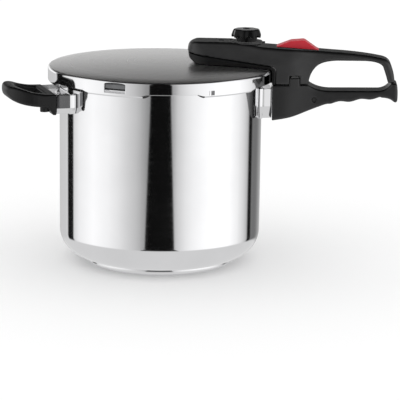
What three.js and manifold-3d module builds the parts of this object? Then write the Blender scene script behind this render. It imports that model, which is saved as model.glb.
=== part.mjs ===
// Pressure canner: a stainless pot with a bayonet lid, two-part long handle, helper handle,
// selector valve, lock slider, pressure pin, and the trivet and basket that stand inside it.
// Millimetres, +Z up. The origin is the centre of the base, and the long handle points along +X.
import * as THREE from 'three';
import Module from 'manifold-3d';
import { mergeVertices } from 'three/addons/utils/BufferGeometryUtils.js';

const wasm = await Module();
wasm.setup();

// ---- driving dimensions -------------------------------------------------------------------

const GAP = 0.3; // clearance kept between touching pieces
const POT = { r: 111, wall: 1.2, corner: 29, floor: 6, flangeR: 118, rim: 206.4, flange: 1.4 };
const BASE = { r: 82, skin: 1.0 };
const LID = { r: 123.7, sheet: 1.5, crestR: 120.7, crest: 217, crown: 221.4, hem: 201 };
const LUG = { count: 6, first: 10.5, lidHalf: 14, potHalf: 13, innerR: 114.3, notchR: 113.2, step: 2.7 };
const SIDE_AZIMUTH = 201.5; // degrees round from the long handle to the helper handle
const VALVE_X = 93;
const PIN_X = 66;
const SAFETY_X = 44;
const SEAM = 200.2; // height of the parting plane between the lid handle and the pot handle
const GRIP_HALF = 14.5;
const HEAD_HALF = 24; // half width of the lid handle over the lid, and of the pot handle at its root
const HEAD_TOP_HALF = 19; // the head narrows upward to this half width
const SLOPE = -0.056; // rise per millimetre of the lid handle's top, along the slider's way
const SIDE = { half: 36, root: 127, tip: 177, low: 172.4, high: 194.4, knee: 179 };
const BASKET = { r: 90, rimR: 93, floor: 44, top: 94, sheet: 0.9 };
const WIRE_R = 1.6;
const ROUND = 60; // facets round the pot and the lid

const STEEL = { color: 0xc9ccd0, roughness: 0.12, metalness: 1 };
const SATIN = { color: 0xa9abae, roughness: 0.42, metalness: 1 };
const ALUMINIUM = { color: 0xb9bcc0, roughness: 0.5, metalness: 1 };
const BRASS = { color: 0xb5954a, roughness: 0.35, metalness: 1 };
const BAKELITE = { color: 0x1b1b1d, roughness: 0.48, metalness: 0 };
const RED = { color: 0xc41f2d, roughness: 0.4, metalness: 0 };
const SILICONE = { color: 0x9a9c9e, roughness: 0.75, metalness: 0 };

// ---- helpers ------------------------------------------------------------------------------

const radians = THREE.MathUtils.degToRad;

/** Signed volume of an indexed triangle list, to find solids whose faces point inward. */
function signedVolume(position, index) {
  const a = new THREE.Vector3();
  const b = new THREE.Vector3();
  const c = new THREE.Vector3();
  let sum = 0;
  for (let i = 0; i < index.length; i += 3) {
    a.fromBufferAttribute(position, index[i]);
    b.fromBufferAttribute(position, index[i + 1]);
    c.fromBufferAttribute(position, index[i + 2]);
    sum += a.dot(b.cross(c));
  }
  return sum / 6;
}

/** A three.js geometry as a manifold solid, faces outward, without degenerate triangles. */
function toSolid(geometry) {
  const bare = geometry.clone();
  bare.deleteAttribute('normal');
  bare.deleteAttribute('uv');
  const welded = mergeVertices(bare, 1e-4);
  const kept = [];
  for (let i = 0; i < welded.index.count; i += 3) {
    const [a, b, c] = [0, 1, 2].map((k) => welded.index.getX(i + k));
    if (a !== b && b !== c && c !== a) {
      kept.push(a, b, c);
    }
  }
  if (signedVolume(welded.attributes.position, kept) < 0) {
    kept.reverse();
  }
  return new wasm.Manifold(new wasm.Mesh({
    numProp: 3,
    vertProperties: Float32Array.from(welded.attributes.position.array),
    triVerts: Uint32Array.from(kept),
  }));
}

function toGeometry(body) {
  const mesh = body.getMesh();
  const geometry = new THREE.BufferGeometry();
  geometry.setAttribute('position', new THREE.BufferAttribute(Float32Array.from(mesh.vertProperties), 3));
  geometry.setIndex(new THREE.BufferAttribute(Uint32Array.from(mesh.triVerts), 1));
  geometry.computeVertexNormals();
  return geometry;
}

/** Points of an arc about (cx, cy), from angle a0 to a1 in degrees. */
function arc(cx, cy, r, a0, a1, steps = 6) {
  return Array.from({ length: steps + 1 }, (_, i) => {
    const a = radians(a0 + ((a1 - a0) * i) / steps);
    return [cx + r * Math.cos(a), cy + r * Math.sin(a)];
  });
}

/** A solid of revolution about Z from an outline of [radius, height] pairs. */
function turned(outline, segments = ROUND) {
  const ends = outline[0][0] > 0 ? [...outline, outline[0]] : outline;
  const points = ends.map(([r, z]) => new THREE.Vector2(r, z));
  return toSolid(new THREE.LatheGeometry(points, segments).rotateX(Math.PI / 2));
}

function shapeOf(outline) {
  return outline instanceof THREE.Shape ? outline : new THREE.Shape(outline.map(([x, y]) => new THREE.Vector2(x, y)));
}

/** An [x, y] outline raised from z0 to z1. */
function raised(outline, z0, z1) {
  const options = { depth: z1 - z0, bevelEnabled: false, curveSegments: 5 };
  return toSolid(new THREE.ExtrudeGeometry(shapeOf(outline), options).translate(0, 0, z0));
}

/** An [x, z] side outline carried across from y = -half to y = half. */
function across(outline, half) {
  const options = { depth: 2 * half, bevelEnabled: false, curveSegments: 5 };
  const geometry = new THREE.ExtrudeGeometry(shapeOf(outline), options);
  return toSolid(geometry.rotateX(Math.PI / 2).translate(0, half, 0));
}

function box(x0, x1, y0, y1, z0, z1) {
  const geometry = new THREE.BoxGeometry(x1 - x0, y1 - y0, z1 - z0);
  return toSolid(geometry.translate((x0 + x1) / 2, (y0 + y1) / 2, (z0 + z1) / 2));
}

/** An upright cylinder; six segments make a hexagon. */
function post(x, y, r, z0, z1, segments = 16) {
  const geometry = new THREE.CylinderGeometry(r, r, z1 - z0, segments).rotateX(Math.PI / 2);
  return toSolid(geometry.translate(x, y, (z0 + z1) / 2));
}

/** A cylinder along Y. */
function crossPin(x, z, r, half, segments = 16) {
  return toSolid(new THREE.CylinderGeometry(r, r, 2 * half, segments).translate(x, 0, z));
}

/** The part of a ring between two azimuths, as a raised outline. */
function sector(azimuth, half, r0, r1, z0, z1) {
  const steps = Math.max(2, Math.round(half / 3));
  const outline = [
    ...arc(0, 0, r1, azimuth - half, azimuth + half, steps),
    ...arc(0, 0, r0, azimuth + half, azimuth - half, steps),
  ];
  return raised(outline, z0, z1);
}

/** Round wire through a list of corners, each rounded from `bend` before it to `bend` after it. */
function wire(points, r, steps, bend = 7) {
  const corners = points.map((p) => new THREE.Vector3(...p));
  const path = new THREE.CurvePath();
  let from = corners[0];
  const toward = (i, j) => {
    const share = Math.min(0.499, bend / corners[i].distanceTo(corners[j]));
    return corners[i].clone().lerp(corners[j], share);
  };
  for (let i = 1; i < corners.length - 1; i += 1) {
    const before = toward(i, i - 1);
    const after = toward(i, i + 1);
    path.add(new THREE.LineCurve3(from, before));
    path.add(new THREE.QuadraticBezierCurve3(before, corners[i], after));
    from = after;
  }
  path.add(new THREE.LineCurve3(from, corners.at(-1)));
  const section = new THREE.Shape(arc(0, 0, r, 0, 300, 5).map(([x, y]) => new THREE.Vector2(x, y)));
  return toSolid(new THREE.ExtrudeGeometry(section, { steps, extrudePath: path }));
}

const group = new THREE.Group();
const sideGroup = new THREE.Group();
sideGroup.rotation.z = radians(SIDE_AZIMUTH);
group.add(sideGroup);

function part(name, body, look, parent = group) {
  const mesh = new THREE.Mesh(toGeometry(body), new THREE.MeshStandardMaterial(look));
  mesh.name = name;
  parent.add(mesh);
}

// ---- pot ----------------------------------------------------------------------------------

const lugAzimuths = Array.from({ length: LUG.count }, (_, i) => LUG.first + (360 / LUG.count) * i);
const gapAzimuths = lugAzimuths.map((a) => a + 180 / LUG.count);

function potBody() {
  const inner = POT.r - POT.wall;
  const flat = POT.r - POT.corner;
  const cornerZ = POT.floor + POT.corner;
  const under = POT.rim - POT.flange;
  const bend = 1.8;
  const outline = [
    [0, POT.floor],
    ...arc(flat, cornerZ, POT.corner, -90, 0, 6),
    ...arc(POT.r + bend, under - bend, bend, 180, 90, 3),
    [POT.flangeR, under],
    [POT.flangeR, POT.rim],
    ...arc(POT.r + bend, under - bend, bend + POT.flange, 90, 180, 3).map(([r, z]) => [Math.max(r, inner), z]),
    ...arc(flat, cornerZ, POT.corner - POT.wall, 0, -90, 6),
    [0, POT.floor + POT.wall],
  ];
  let body = turned(outline);
  const notchHalf = 180 / LUG.count - LUG.potHalf;
  for (const azimuth of gapAzimuths) {
    body = body.subtract(sector(azimuth, notchHalf, LUG.notchR, POT.flangeR + 2, under - 1, POT.rim + 1));
  }
  return body;
}

function baseCap() {
  const lip = POT.floor - GAP;
  return turned([
    [0, 0],
    ...arc(BASE.r - 1.5, 1.5, 1.5, -90, 0, 3),
    [BASE.r, lip],
    [BASE.r - BASE.skin, lip],
    [BASE.r - BASE.skin, BASE.skin],
    [0, BASE.skin],
  ]);
}

function baseCore() {
  const r = BASE.r - BASE.skin - GAP;
  return turned([[0, BASE.skin + GAP], [r, BASE.skin + GAP], [r, POT.floor - GAP], [0, POT.floor - GAP]]);
}

part('pot_body', potBody(), STEEL);
part('base_core', baseCore(), ALUMINIUM);
part('base_cap', baseCap(), STEEL);

// ---- long handle on the pot ---------------------------------------------------------------

const TONGUE = { half: 8, z0: 180.4, z1: 187.4, end: 178 };
const FERRULE = { x0: 104, x1: 122.3, half: 24, z0: 162.6, z1: 196.7, knee: 176.5, stripX: 112, lean: 3 };
const PIN = { x: 168.1, z: 183.9, r: 2.3 };
const GRIP_ROOT = 122.7;
const GRIP_TIP = 259.6;

/** Section of a ferrule, as [y, z]: upright sides that lean in below the knee. */
function ferruleSection(half, z0, z1, knee, lean) {
  const corner = 2;
  return [
    [-half, z1 - corner], [corner - half, z1], [half - corner, z1], [half, z1 - corner],
    [half, knee], [half - lean, z0], [lean - half, z0], [-half, knee],
  ];
}

/** A [y, z] section carried along X from x0 to x1. */
function along(section, x0, x1) {
  const geometry = new THREE.ExtrudeGeometry(shapeOf(section), { depth: x1 - x0, bevelEnabled: false });
  return toSolid(geometry.rotateX(Math.PI / 2).rotateZ(Math.PI / 2).translate(x0, 0, 0));
}

/** The pot's outer wall as a solid, grown by a clearance, to fit pieces round it. */
function wallCutter(clearance) {
  return post(0, 0, POT.r + clearance, 150, 210, ROUND);
}

function longHandleBracket() {
  const pad = sector(0, 8, POT.r + GAP, POT.r + 2.1, 168, 192);
  const tongue = box(POT.r - 1, TONGUE.end, -TONGUE.half, TONGUE.half, TONGUE.z0, TONGUE.z1);
  return pad.add(tongue.subtract(wallCutter(GAP))).subtract(crossPin(PIN.x, PIN.z, PIN.r + GAP, 20));
}

function longHandleFerrule() {
  const f = FERRULE;
  const sleeve = along(ferruleSection(f.half - 0.6, f.z0 + 0.4, f.z1 - 0.4, f.knee, f.lean), f.x0, f.x1);
  const strip = along(ferruleSection(f.half, f.z0, f.z1, f.knee, f.lean), f.x0, f.stripX);
  const hollow = along(ferruleSection(f.half - 1.8, f.z0 + 1.6, f.z1 - 1.6, f.knee, f.lean), f.x0 - 1, f.x1 + 1);
  return sleeve.add(strip).subtract(hollow).subtract(wallCutter(0.4));
}

/** Underside of the lower grip: a rising line with shallow finger waves. */
function fingerWaves() {
  const start = [186, 180];
  const end = [240, 187.2];
  const wave = 23;
  const steps = 14;
  return Array.from({ length: steps + 1 }, (_, i) => {
    const x = THREE.MathUtils.lerp(start[0], end[0], i / steps);
    const lift = 0.9 * Math.sin((2 * Math.PI * (x - start[0] - 4)) / wave);
    return [x, THREE.MathUtils.lerp(start[1], end[1], i / steps) + lift];
  });
}

function lowerGripSide() {
  const shape = new THREE.Shape();
  shape.moveTo(GRIP_ROOT, 161);
  shape.splineThru([[144, 165], [164, 172.4], [180, 178.4]].map(([x, z]) => new THREE.Vector2(x, z)));
  fingerWaves().forEach(([x, z]) => shape.lineTo(x, z));
  shape.quadraticCurveTo(249, 187.4, 253, 184.2);
  shape.quadraticCurveTo(256.5, 181.2, 259, 182.2);
  shape.quadraticCurveTo(260.6, 191, 258.2, 201);
  shape.quadraticCurveTo(257.6, 203.3, 255.6, 203.3);
  shape.lineTo(251.5, 203.3);
  shape.quadraticCurveTo(246, 194.9, 237, 194.6);
  shape.lineTo(184, 193.6);
  shape.quadraticCurveTo(171, 193.8, 161.5, SEAM - GAP);
  shape.lineTo(GRIP_ROOT, SEAM - GAP);
  return shape;
}

/** One side of the long grips in plan, from the head's half width to a rounded tip at tipX. */
function gripFlank(shape, tipX, inset, side) {
  const head = side * (HEAD_HALF - inset);
  const grip = side * (GRIP_HALF - inset);
  const corner = side * 5;
  const run = [[124, head], [150, head], [154, grip], [188, grip], [tipX - 5, grip], [tipX, grip], [tipX, grip - corner]];
  if (side < 0) {
    shape.lineTo(...run[0]);
    shape.bezierCurveTo(...run[1], ...run[2], ...run[3]);
    shape.lineTo(...run[4]);
    shape.quadraticCurveTo(...run[5], ...run[6]);
  } else {
    shape.lineTo(...run[6]);
    shape.quadraticCurveTo(...run[5], ...run[4]);
    shape.lineTo(...run[3]);
    shape.bezierCurveTo(...run[2], ...run[1], ...run[0]);
  }
}

function lowerGripPlan() {
  const shape = new THREE.Shape();
  shape.moveTo(GRIP_ROOT, -HEAD_HALF);
  gripFlank(shape, GRIP_TIP, 0, -1);
  gripFlank(shape, GRIP_TIP, 0, 1);
  shape.lineTo(GRIP_ROOT, HEAD_HALF);
  return shape;
}

const TAB = { r0: 143.3, r1: 153, halfAngle: 12, top: 207.9 }; // curved, so that the lid's notch swings past it
const CATCH = { x0: 146.4, half: 5, z0: 202.4 }; // the slot in the tab that the lock bolt enters

function longHandleGrip() {
  let body = across(lowerGripSide(), HEAD_HALF + 1).intersect(raised(lowerGripPlan(), 150, 230));
  const tab = sector(0, TAB.halfAngle, TAB.r0, TAB.r1, SEAM - 5, TAB.top);
  body = body.add(tab.intersect(raised(lowerGripPlan(), 150, 230)));
  body = body.subtract(box(CATCH.x0, TAB.r1 + 1, -CATCH.half, CATCH.half, CATCH.z0, TAB.top + 1));
  const half = TONGUE.half + 0.4;
  body = body.subtract(box(GRIP_ROOT - 1, TONGUE.end + 1, -half, half, TONGUE.z0 - 0.4, TONGUE.z1 + 0.4));
  return body.subtract(crossPin(PIN.x, PIN.z, PIN.r + GAP, HEAD_HALF + 1));
}

part('long_handle_bracket', longHandleBracket(), STEEL);
part('long_handle_ferrule', longHandleFerrule(), STEEL);
part('long_handle_grip', longHandleGrip(), BAKELITE);
part('long_handle_pin', crossPin(PIN.x, PIN.z, PIN.r, 15), STEEL);

// ---- helper handle, built along +X and turned to its azimuth by its group ---------------------

const SCREW = { x: 138.4, y: 28 };
const ARM = { half: 5.5, z0: 184.4, z1: 187.6, end: 147 };
const ARM_SLOT = 0.4;

function sideHandleBracket() {
  let body = sector(0, 16, POT.r + GAP, POT.r + 2.1, 178, 192);
  for (const y of [-SCREW.y, SCREW.y]) {
    const arm = box(100, ARM.end, y - ARM.half, y + ARM.half, ARM.z0, ARM.z1);
    body = body.add(arm.subtract(wallCutter(GAP)));
    body = body.subtract(post(SCREW.x, y, 2.6, 170, 200));
  }
  return body;
}

function armSlot(y, x0, x1) {
  const half = ARM.half + ARM_SLOT;
  return box(x0, x1, y - half, y + half, ARM.z0 - ARM_SLOT, ARM.z1 + ARM_SLOT);
}

function sideHandleFerrule() {
  const { half, low, high, knee, root } = SIDE;
  const lean = 2.2;
  const strip = along(ferruleSection(half, low, high, knee, lean), 98, 113.8);
  const sleeve = along(ferruleSection(half - 0.6, low + 0.4, high - 0.4, knee, lean), 98, root - GAP);
  const hollow = along(ferruleSection(half - 1.8, low + 1.6, high - 1.6, knee, lean), 97, root + 1);
  return strip.add(sleeve).subtract(hollow).subtract(wallCutter(0.4));
}

function sideGripSide() {
  const shape = new THREE.Shape();
  shape.moveTo(SIDE.root, SIDE.low);
  shape.lineTo(130.5, SIDE.low);
  shape.quadraticCurveTo(134, 177.6, 137, 180.8);
  shape.quadraticCurveTo(158, 182.2, 167, 185.6);
  shape.quadraticCurveTo(177.2, 189.2, 177.4, 196.4);
  shape.quadraticCurveTo(177.2, 201.9, 171, 201.8);
  shape.quadraticCurveTo(165, 201.6, 157, 198.6);
  shape.quadraticCurveTo(145, 194.2, SIDE.root, SIDE.high);
  return shape;
}

/** Plan of the helper handle: arms that close in a round end. */
function loopPlan(x0, half, straight, tip) {
  const shape = new THREE.Shape();
  const shoulder = tip - (tip - straight) * 0.22;
  shape.moveTo(x0, -half);
  shape.lineTo(straight, -half);
  shape.bezierCurveTo(shoulder, -half, tip, -half * 0.5, tip, 0);
  shape.bezierCurveTo(tip, half * 0.5, shoulder, half, straight, half);
  shape.lineTo(x0, half);
  return shape;
}

function sideHandleGrip() {
  const boss = { r: 4.8, z0: 175.6, headR: 3.6, headZ: 177.6 };
  let body = across(sideGripSide(), SIDE.half + 2);
  body = body.intersect(raised(loopPlan(SIDE.root, SIDE.half, 143, SIDE.tip), 150, 230));
  body = body.subtract(raised(loopPlan(136.5, 24, 145, 164), 150, 230));
  for (const y of [-SCREW.y, SCREW.y]) {
    body = body.add(post(SCREW.x, y, boss.r, boss.z0, 186));
    body = body.subtract(armSlot(y, SIDE.root - 1, ARM.end + 0.5));
    body = body.subtract(post(SCREW.x, y, boss.headR, 170, boss.headZ));
    body = body.subtract(post(SCREW.x, y, 2.4, 170, 192));
  }
  return body;
}

function sideHandleScrew(y) {
  return post(SCREW.x, y, 3.3, 175.8, 177.3).add(post(SCREW.x, y, 2.1, 177, 191))
    .subtract(box(SCREW.x - 4, SCREW.x + 4, y - 0.5, y + 0.5, 175, 176.5));
}

part('side_handle_bracket', sideHandleBracket(), STEEL, sideGroup);
part('side_handle_ferrule', sideHandleFerrule(), STEEL, sideGroup);
part('side_handle_grip', sideHandleGrip(), BAKELITE, sideGroup);
part('side_handle_screw_1', sideHandleScrew(-SCREW.y), STEEL, sideGroup);
part('side_handle_screw_2', sideHandleScrew(SCREW.y), STEEL, sideGroup);

// ---- trivet, basket and its bail ----------------------------------------------------------

/** One bent wire: two rails on two low feet, its ends butted under one rail. */
function trivet() {
  const low = POT.floor + POT.wall + GAP + WIRE_R;
  const high = BASKET.floor - GAP - WIRE_R;
  const run = 62;
  const foot = 74;
  const half = 28;
  return wire([
    [2, -half, high], [run, -half, high], [foot, -half, low], [foot, half, low], [run, half, high],
    [-run, half, high], [-foot, half, low], [-foot, -half, low], [-run, -half, high], [1, -half, high],
  ], WIRE_R, 64);
}

const EAR = { y: 90.5, z: 88, wire: 1.5 };

function basket() {
  const b = BASKET;
  const bend = 8;
  const outline = [
    [0, b.floor],
    ...arc(b.r - bend, b.floor + bend, bend, -90, 0, 4),
    [b.r, b.top - 1.5],
    [b.rimR, b.top - 1.5],
    [b.rimR, b.top],
    [b.r - b.sheet, b.top],
    ...arc(b.r - bend, b.floor + bend, bend - b.sheet, 0, -90, 4),
    [0, b.floor + b.sheet],
  ];
  let body = turned(outline, 48);
  const pitch = 21;
  for (let ring = 1; ring <= 3; ring += 1) {
    const count = 6 * ring;
    for (let i = 0; i < count; i += 1) {
      const a = (2 * Math.PI * (i + 0.5 * (ring % 2))) / count;
      const hole = post(pitch * ring * Math.cos(a), pitch * ring * Math.sin(a), 2.6, b.floor - 1, b.floor + 2, 6);
      body = body.subtract(hole);
    }
  }
  for (const side of [-1, 1]) {
    const ear = box(-6, 6, side * EAR.y - 1, side * EAR.y + 1, EAR.z - 7, EAR.z + 5);
    body = body.add(ear).subtract(earHole(side));
  }
  return body;
}

function earHole(side) {
  const geometry = new THREE.CylinderGeometry(EAR.wire + 0.4, EAR.wire + 0.4, 8, 12);
  return toSolid(geometry.translate(0, side * EAR.y, EAR.z));
}

/** The bail at rest lies folded over, its arch above the basket's rim on the -X side. */
function basketBail() {
  const hook = 95.2;
  const reach = 72;
  const arms = [[0, 87, EAR.z], [0, hook, EAR.z], [-9, hook, EAR.z + 9.5]];
  const arch = Array.from({ length: 11 }, (_, i) => {
    const a = (Math.PI * (i + 1)) / 12;
    return [-10 - reach * Math.sin(a), -hook * Math.cos(a), EAR.z + 10 + 4 * Math.sin(a)];
  });
  const near = arms.map(([x, y, z]) => [x, -y, z]);
  return wire([...near, ...arch, ...arms.reverse()], EAR.wire, 60, 3);
}

part('trivet', trivet(), STEEL);
part('basket', basket(), STEEL);
part('basket_bail', basketBail(), STEEL);

// ---- lid ----------------------------------------------------------------------------------

/** Upper surface of the lid, a shallow dome from the centre out to the crest. */
function lidTop(offset = 0) {
  const rings = 8;
  return Array.from({ length: rings + 1 }, (_, i) => {
    const share = i / rings;
    return [LID.crestR * share, LID.crown - (LID.crown - LID.crest) * share ** 2 + offset];
  });
}

function lidShell() {
  const t = LID.sheet;
  const round = LID.r - LID.crestR;
  const shoulder = LID.crest - round;
  const outline = [
    ...lidTop(),
    ...arc(LID.crestR, shoulder, round, 90, 0, 4).slice(1),
    ...arc(LID.r - 1.6, LID.hem + 1.6, 1.6, 0, -90, 2),
    [LUG.innerR, LID.hem + 2.1],
    [LUG.innerR, LID.hem + 3.5],
    [LID.r - t - 0.4, LID.hem + 1.6],
    [LID.r - t, LID.hem + 2.2],
    ...arc(LID.crestR, shoulder, round - t, 0, 90, 3).slice(0, -1),
    ...lidTop(-t).reverse(),
  ];
  let body = turned(outline);
  const gapHalf = 180 / LUG.count - LUG.lidHalf;
  for (const azimuth of gapAzimuths) {
    body = body.subtract(sector(azimuth, gapHalf, LUG.innerR - 2, LID.r + 1, LID.hem - 1, LID.hem + LUG.step));
    body = body.subtract(sector(azimuth, gapHalf, LUG.innerR - 2, LID.r - t + 0.2, LID.hem - 1, LID.hem + 5));
  }
  body = body.subtract(lidWindow());
  for (const [x, r] of [[VALVE_X, 6.4], [PIN_X, 4], [SAFETY_X, 4.4]]) {
    body = body.subtract(post(x, 0, r, 190, 240));
  }
  return body;
}

/** The arched window through the skirt that shows the gasket, in the middle of one lug. */
function lidWindow() {
  const azimuth = LUG.first - 2 * (360 / LUG.count);
  const half = 12;
  const low = LID.hem + 2.4;
  const spring = LID.crest - 3.8;
  const rise = 0.16; // the arch's height over its half width
  const arch = arc(0, 0, half, 0, 180, 8).map(([x, z]) => [x, spring + z * rise]);
  const outline = [[-half, low], [half, low], ...arch];
  const cutter = new THREE.ExtrudeGeometry(shapeOf(outline), { depth: 12, bevelEnabled: false });
  cutter.rotateX(Math.PI / 2).translate(0, LID.r + 5, 0).rotateZ(radians(azimuth - 90));
  return toSolid(cutter);
}

/** C-shaped ring: its lower lip lies on the pot's flange and its upper lip under the lid. */
function lidGasket() {
  const outer = LID.r - LID.sheet - GAP;
  const low = POT.rim + GAP;
  const high = LID.crest - LID.sheet - 0.5;
  return turned([
    [110.5, low],
    [116, low],
    [118.6, low + 1.4],
    [outer, low + 1.8],
    [outer, high - 2.6],
    [119.6, high - 0.5],
    [115.6, high - 1],
    [111, high - 2.7],
    [109, high - 3.4],
    [109, high - 4.6],
    [116, high - 2.8],
    [119.4, high - 3],
    [119.4, low + 3],
    [110.5, low + 1.2],
  ]);
}

part('lid_shell', lidShell(), SATIN);
part('lid_gasket', lidGasket(), SILICONE);

// ---- lid handle ---------------------------------------------------------------------------

/** Everything below the lid's outer surface raised by the given clearance. */
function lidEnvelope(clearance) {
  const round = LID.r - LID.crestR;
  return turned([
    ...lidTop(clearance).slice(0, -1),
    ...arc(LID.crestR, LID.crest - round, round + clearance, 86, 0, 5),
    [LID.r + clearance, 150],
    [0, 150],
  ]);
}

const NOSE_X = 28.9 + HEAD_HALF; // centre of the head's round nose
const COVER_TIP = 256.6;

/** Plan of the lid handle: round nose, wide head over the valve, slimmer grip. */
function lidHandlePlan(inset = 0) {
  const shape = new THREE.Shape();
  shape.absarc(NOSE_X, 0, HEAD_HALF - inset, radians(90), radians(270), false);
  gripFlank(shape, COVER_TIP - inset, inset, -1);
  gripFlank(shape, COVER_TIP - inset, inset, 1);
  return shape;
}

const GROOVE = { nose: 233.3, heel: 220.4, heelX: 122.4, back: 217, backX: 126.2 };
const TOP = { flat: 245, dropX: 76, slopeX: 112, slopeZ: 240.4 };
const ROOF = 2.8;
const topAt = (x) => TOP.slopeZ + SLOPE * (x - TOP.slopeX);
const NOTCH = { x0: 140.6, x1: 153.4, top: 210.4 }; // passes the pot handle's tab when the lid turns
const BLOCK_FLOOR = 213; // floor of the cover's hollow behind the lid
const SLOT = { x0: 135.5, x1: 148.4, half: 3.4 }; // the slider's way through the roof
const MOUNT_X = 131; // the screw that holds the lid handle to its bracket
const BOLT = { x0: 130, x1: 156, leg: 153.8, z0: 228, z1: 230, foot: 203 };

function coverSide() {
  const shape = new THREE.Shape();
  shape.moveTo(28, GROOVE.nose);
  shape.lineTo(GROOVE.heelX, GROOVE.heel);
  shape.lineTo(GROOVE.backX, GROOVE.back);
  shape.lineTo(GROOVE.backX, SEAM + GAP);
  shape.lineTo(161.6, SEAM + GAP);
  shape.quadraticCurveTo(162.4, 214, 171, 221.2);
  shape.quadraticCurveTo(178, 226.6, 196, 226.9);
  shape.lineTo(222, 227.1);
  shape.quadraticCurveTo(238, 226.8, 241.8, 221.4);
  shape.quadraticCurveTo(245, 213, 247.6, 203.9);
  shape.lineTo(256.2, 203.9);
  shape.quadraticCurveTo(254.6, 214, 249.8, 224.6);
  shape.quadraticCurveTo(247.4, 228.8, 241, 230.4);
  shape.quadraticCurveTo(220, 234.6, 190, topAt(190));
  shape.lineTo(TOP.slopeX, TOP.slopeZ);
  shape.quadraticCurveTo(96, 243.4, TOP.dropX, TOP.flat);
  shape.lineTo(42, TOP.flat);
  shape.quadraticCurveTo(29.6, TOP.flat, 28, 238);
  return shape;
}

/** Section of the head as [y, z]: it narrows toward the top, with eased upper edges. */
function headSection(inset = 0) {
  const low = HEAD_HALF - inset;
  const high = HEAD_TOP_HALF - inset;
  return [[-low, 190], [low, 190], [low, 224], [high + 1, 239], [high, 243], [high - 2.4, 246 - inset],
    [2.4 - high, 246 - inset], [-high, 243], [-high - 1, 239], [-low, 224]];
}

/** Space inside the cover, open below over the base shell. */
function coverHollow() {
  const back = 158.5;
  const outline = [
    [32, 226], [32, 238], [38, TOP.flat - ROOF], [TOP.dropX, TOP.flat - ROOF], [96, TOP.flat - 2.2 - ROOF],
    [TOP.slopeX, TOP.slopeZ - ROOF], [back, topAt(back) - ROOF], [back, BLOCK_FLOOR], [122, BLOCK_FLOOR],
    [122, 200], [60, 200],
  ];
  return across(outline, HEAD_HALF).intersect(raised(lidHandlePlan(2.8), 190, 260))
    .intersect(along(headSection(2.8), 20, 170));
}

function lidHandleCover() {
  let body = across(coverSide(), HEAD_HALF + 1).intersect(raised(lidHandlePlan(), 190, 260));
  body = body.intersect(along(headSection(), 20, 270)).subtract(coverHollow());
  body = body.subtract(box(NOTCH.x0, NOTCH.x1, -30, 30, 190, NOTCH.top));
  body = body.subtract(box(CATCH.x0 - 0.2, BOLT.x1 + 0.6, -CATCH.half, CATCH.half, CATCH.z0, BLOCK_FLOOR + 1));
  body = body.subtract(box(SLOT.x0, SLOT.x1, -SLOT.half, SLOT.half, 230, 260));
  body = body.subtract(post(VALVE_X, 0, 12.4, 236, 260, 32)).subtract(post(VALVE_X, 0, 17.8, 242.6, 260, 32));
  body = body.subtract(post(PIN_X, 0, 2.6, 238, 260));
  return body.subtract(post(MOUNT_X, 0, 2.4, 200, 215)).subtract(post(MOUNT_X, 0, 4.2, 200, 204));
}

function lidHandleBase() {
  const outline = [
    [29.6, GROOVE.nose - 1], [GROOVE.heelX - 0.4, GROOVE.heel - 0.9], [GROOVE.backX - 0.6, GROOVE.back - 0.4],
    [GROOVE.backX - 0.6, SEAM + GAP], [116, SEAM + GAP], [72, 206], [50, 214], [38, 221.6], [31, 226.6],
  ];
  const hollow = [[36, 240], [121.6, 240], [121.6, 214], [72, 210], [56, 221], [43, 226.6], [38, 229]];
  const inside = across(hollow, HEAD_HALF).intersect(raised(lidHandlePlan(3.2), 190, 260));
  let body = across(outline, HEAD_HALF + 1).intersect(raised(lidHandlePlan(0.6), 190, 260));
  body = body.subtract(lidEnvelope(0.45)).subtract(inside.subtract(lidEnvelope(2.4)));
  for (const [x, r] of [[VALVE_X, 10.6], [PIN_X, 5.7], [SAFETY_X, 6.8]]) {
    body = body.subtract(post(x, 0, r, 190, 240, 24));
  }
  for (const [x0, x1] of BRACKET.legs) {
    body = body.subtract(box(x0 - 0.6, x1 + 0.6, -BRACKET.half - 0.6, BRACKET.half + 0.6, 190, 240));
  }
  return body;
}

const BRACKET = { half: 11, z0: 223, z1: 225, end: 137, legs: [[56, 58.2], [109.8, 112]] };

/** Steel strip over the lid on two legs, with its tail inside the handle behind the lid. */
function lidBracket() {
  const { half, z0, z1, end, legs } = BRACKET;
  const outline = [
    [legs[0][0], 221.1], [legs[0][1], 221.1], [legs[0][1], z0], [legs[1][0], z0], [legs[1][0], 218.4],
    [legs[1][1], 218.4], [legs[1][1], z0], [end, z0], [end, z1], [legs[0][0], z1],
  ];
  return across(outline, half).subtract(post(VALVE_X, 0, 8.2, 200, 240))
    .subtract(post(PIN_X, 0, 3.6, 200, 240)).subtract(post(MOUNT_X, 0, 2.2, 200, 240));
}

function bracketScrew() {
  return post(MOUNT_X, 0, 3.8, 201.4, 203.7).add(post(MOUNT_X, 0, 1.9, 203, 226.4))
    .subtract(box(MOUNT_X - 5, MOUNT_X + 5, -0.5, 0.5, 200, 202.3));
}

part('lid_handle_base', lidHandleBase(), BAKELITE);
part('lid_handle_cover', lidHandleCover(), BAKELITE);
part('lid_bracket', lidBracket(), STEEL);
part('bracket_screw', bracketScrew(), STEEL);

// ---- working valve and selector -----------------------------------------------------------

function valveBody() {
  return post(VALVE_X, 0, 6.1, 209.6, 219.9).add(post(VALVE_X, 0, 9.8, 219.7, 222.2, 6))
    .add(post(VALVE_X, 0, 7.5, 222, 236)).subtract(post(VALVE_X, 0, 5, 214.5, 237))
    .subtract(post(VALVE_X, 0, 1.3, 203, 215, 12));
}

function ring(x, r0, r1, z0, z1, segments = 20) {
  return post(x, 0, r1, z0, z1, segments).subtract(post(x, 0, r0, z0 - 1, z1 + 1));
}

function hexNut(x, bore, z0, z1, size) {
  return post(x, 0, size, z0, z1, 6).subtract(post(x, 0, bore, z0 - 1, z1 + 1));
}

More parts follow.
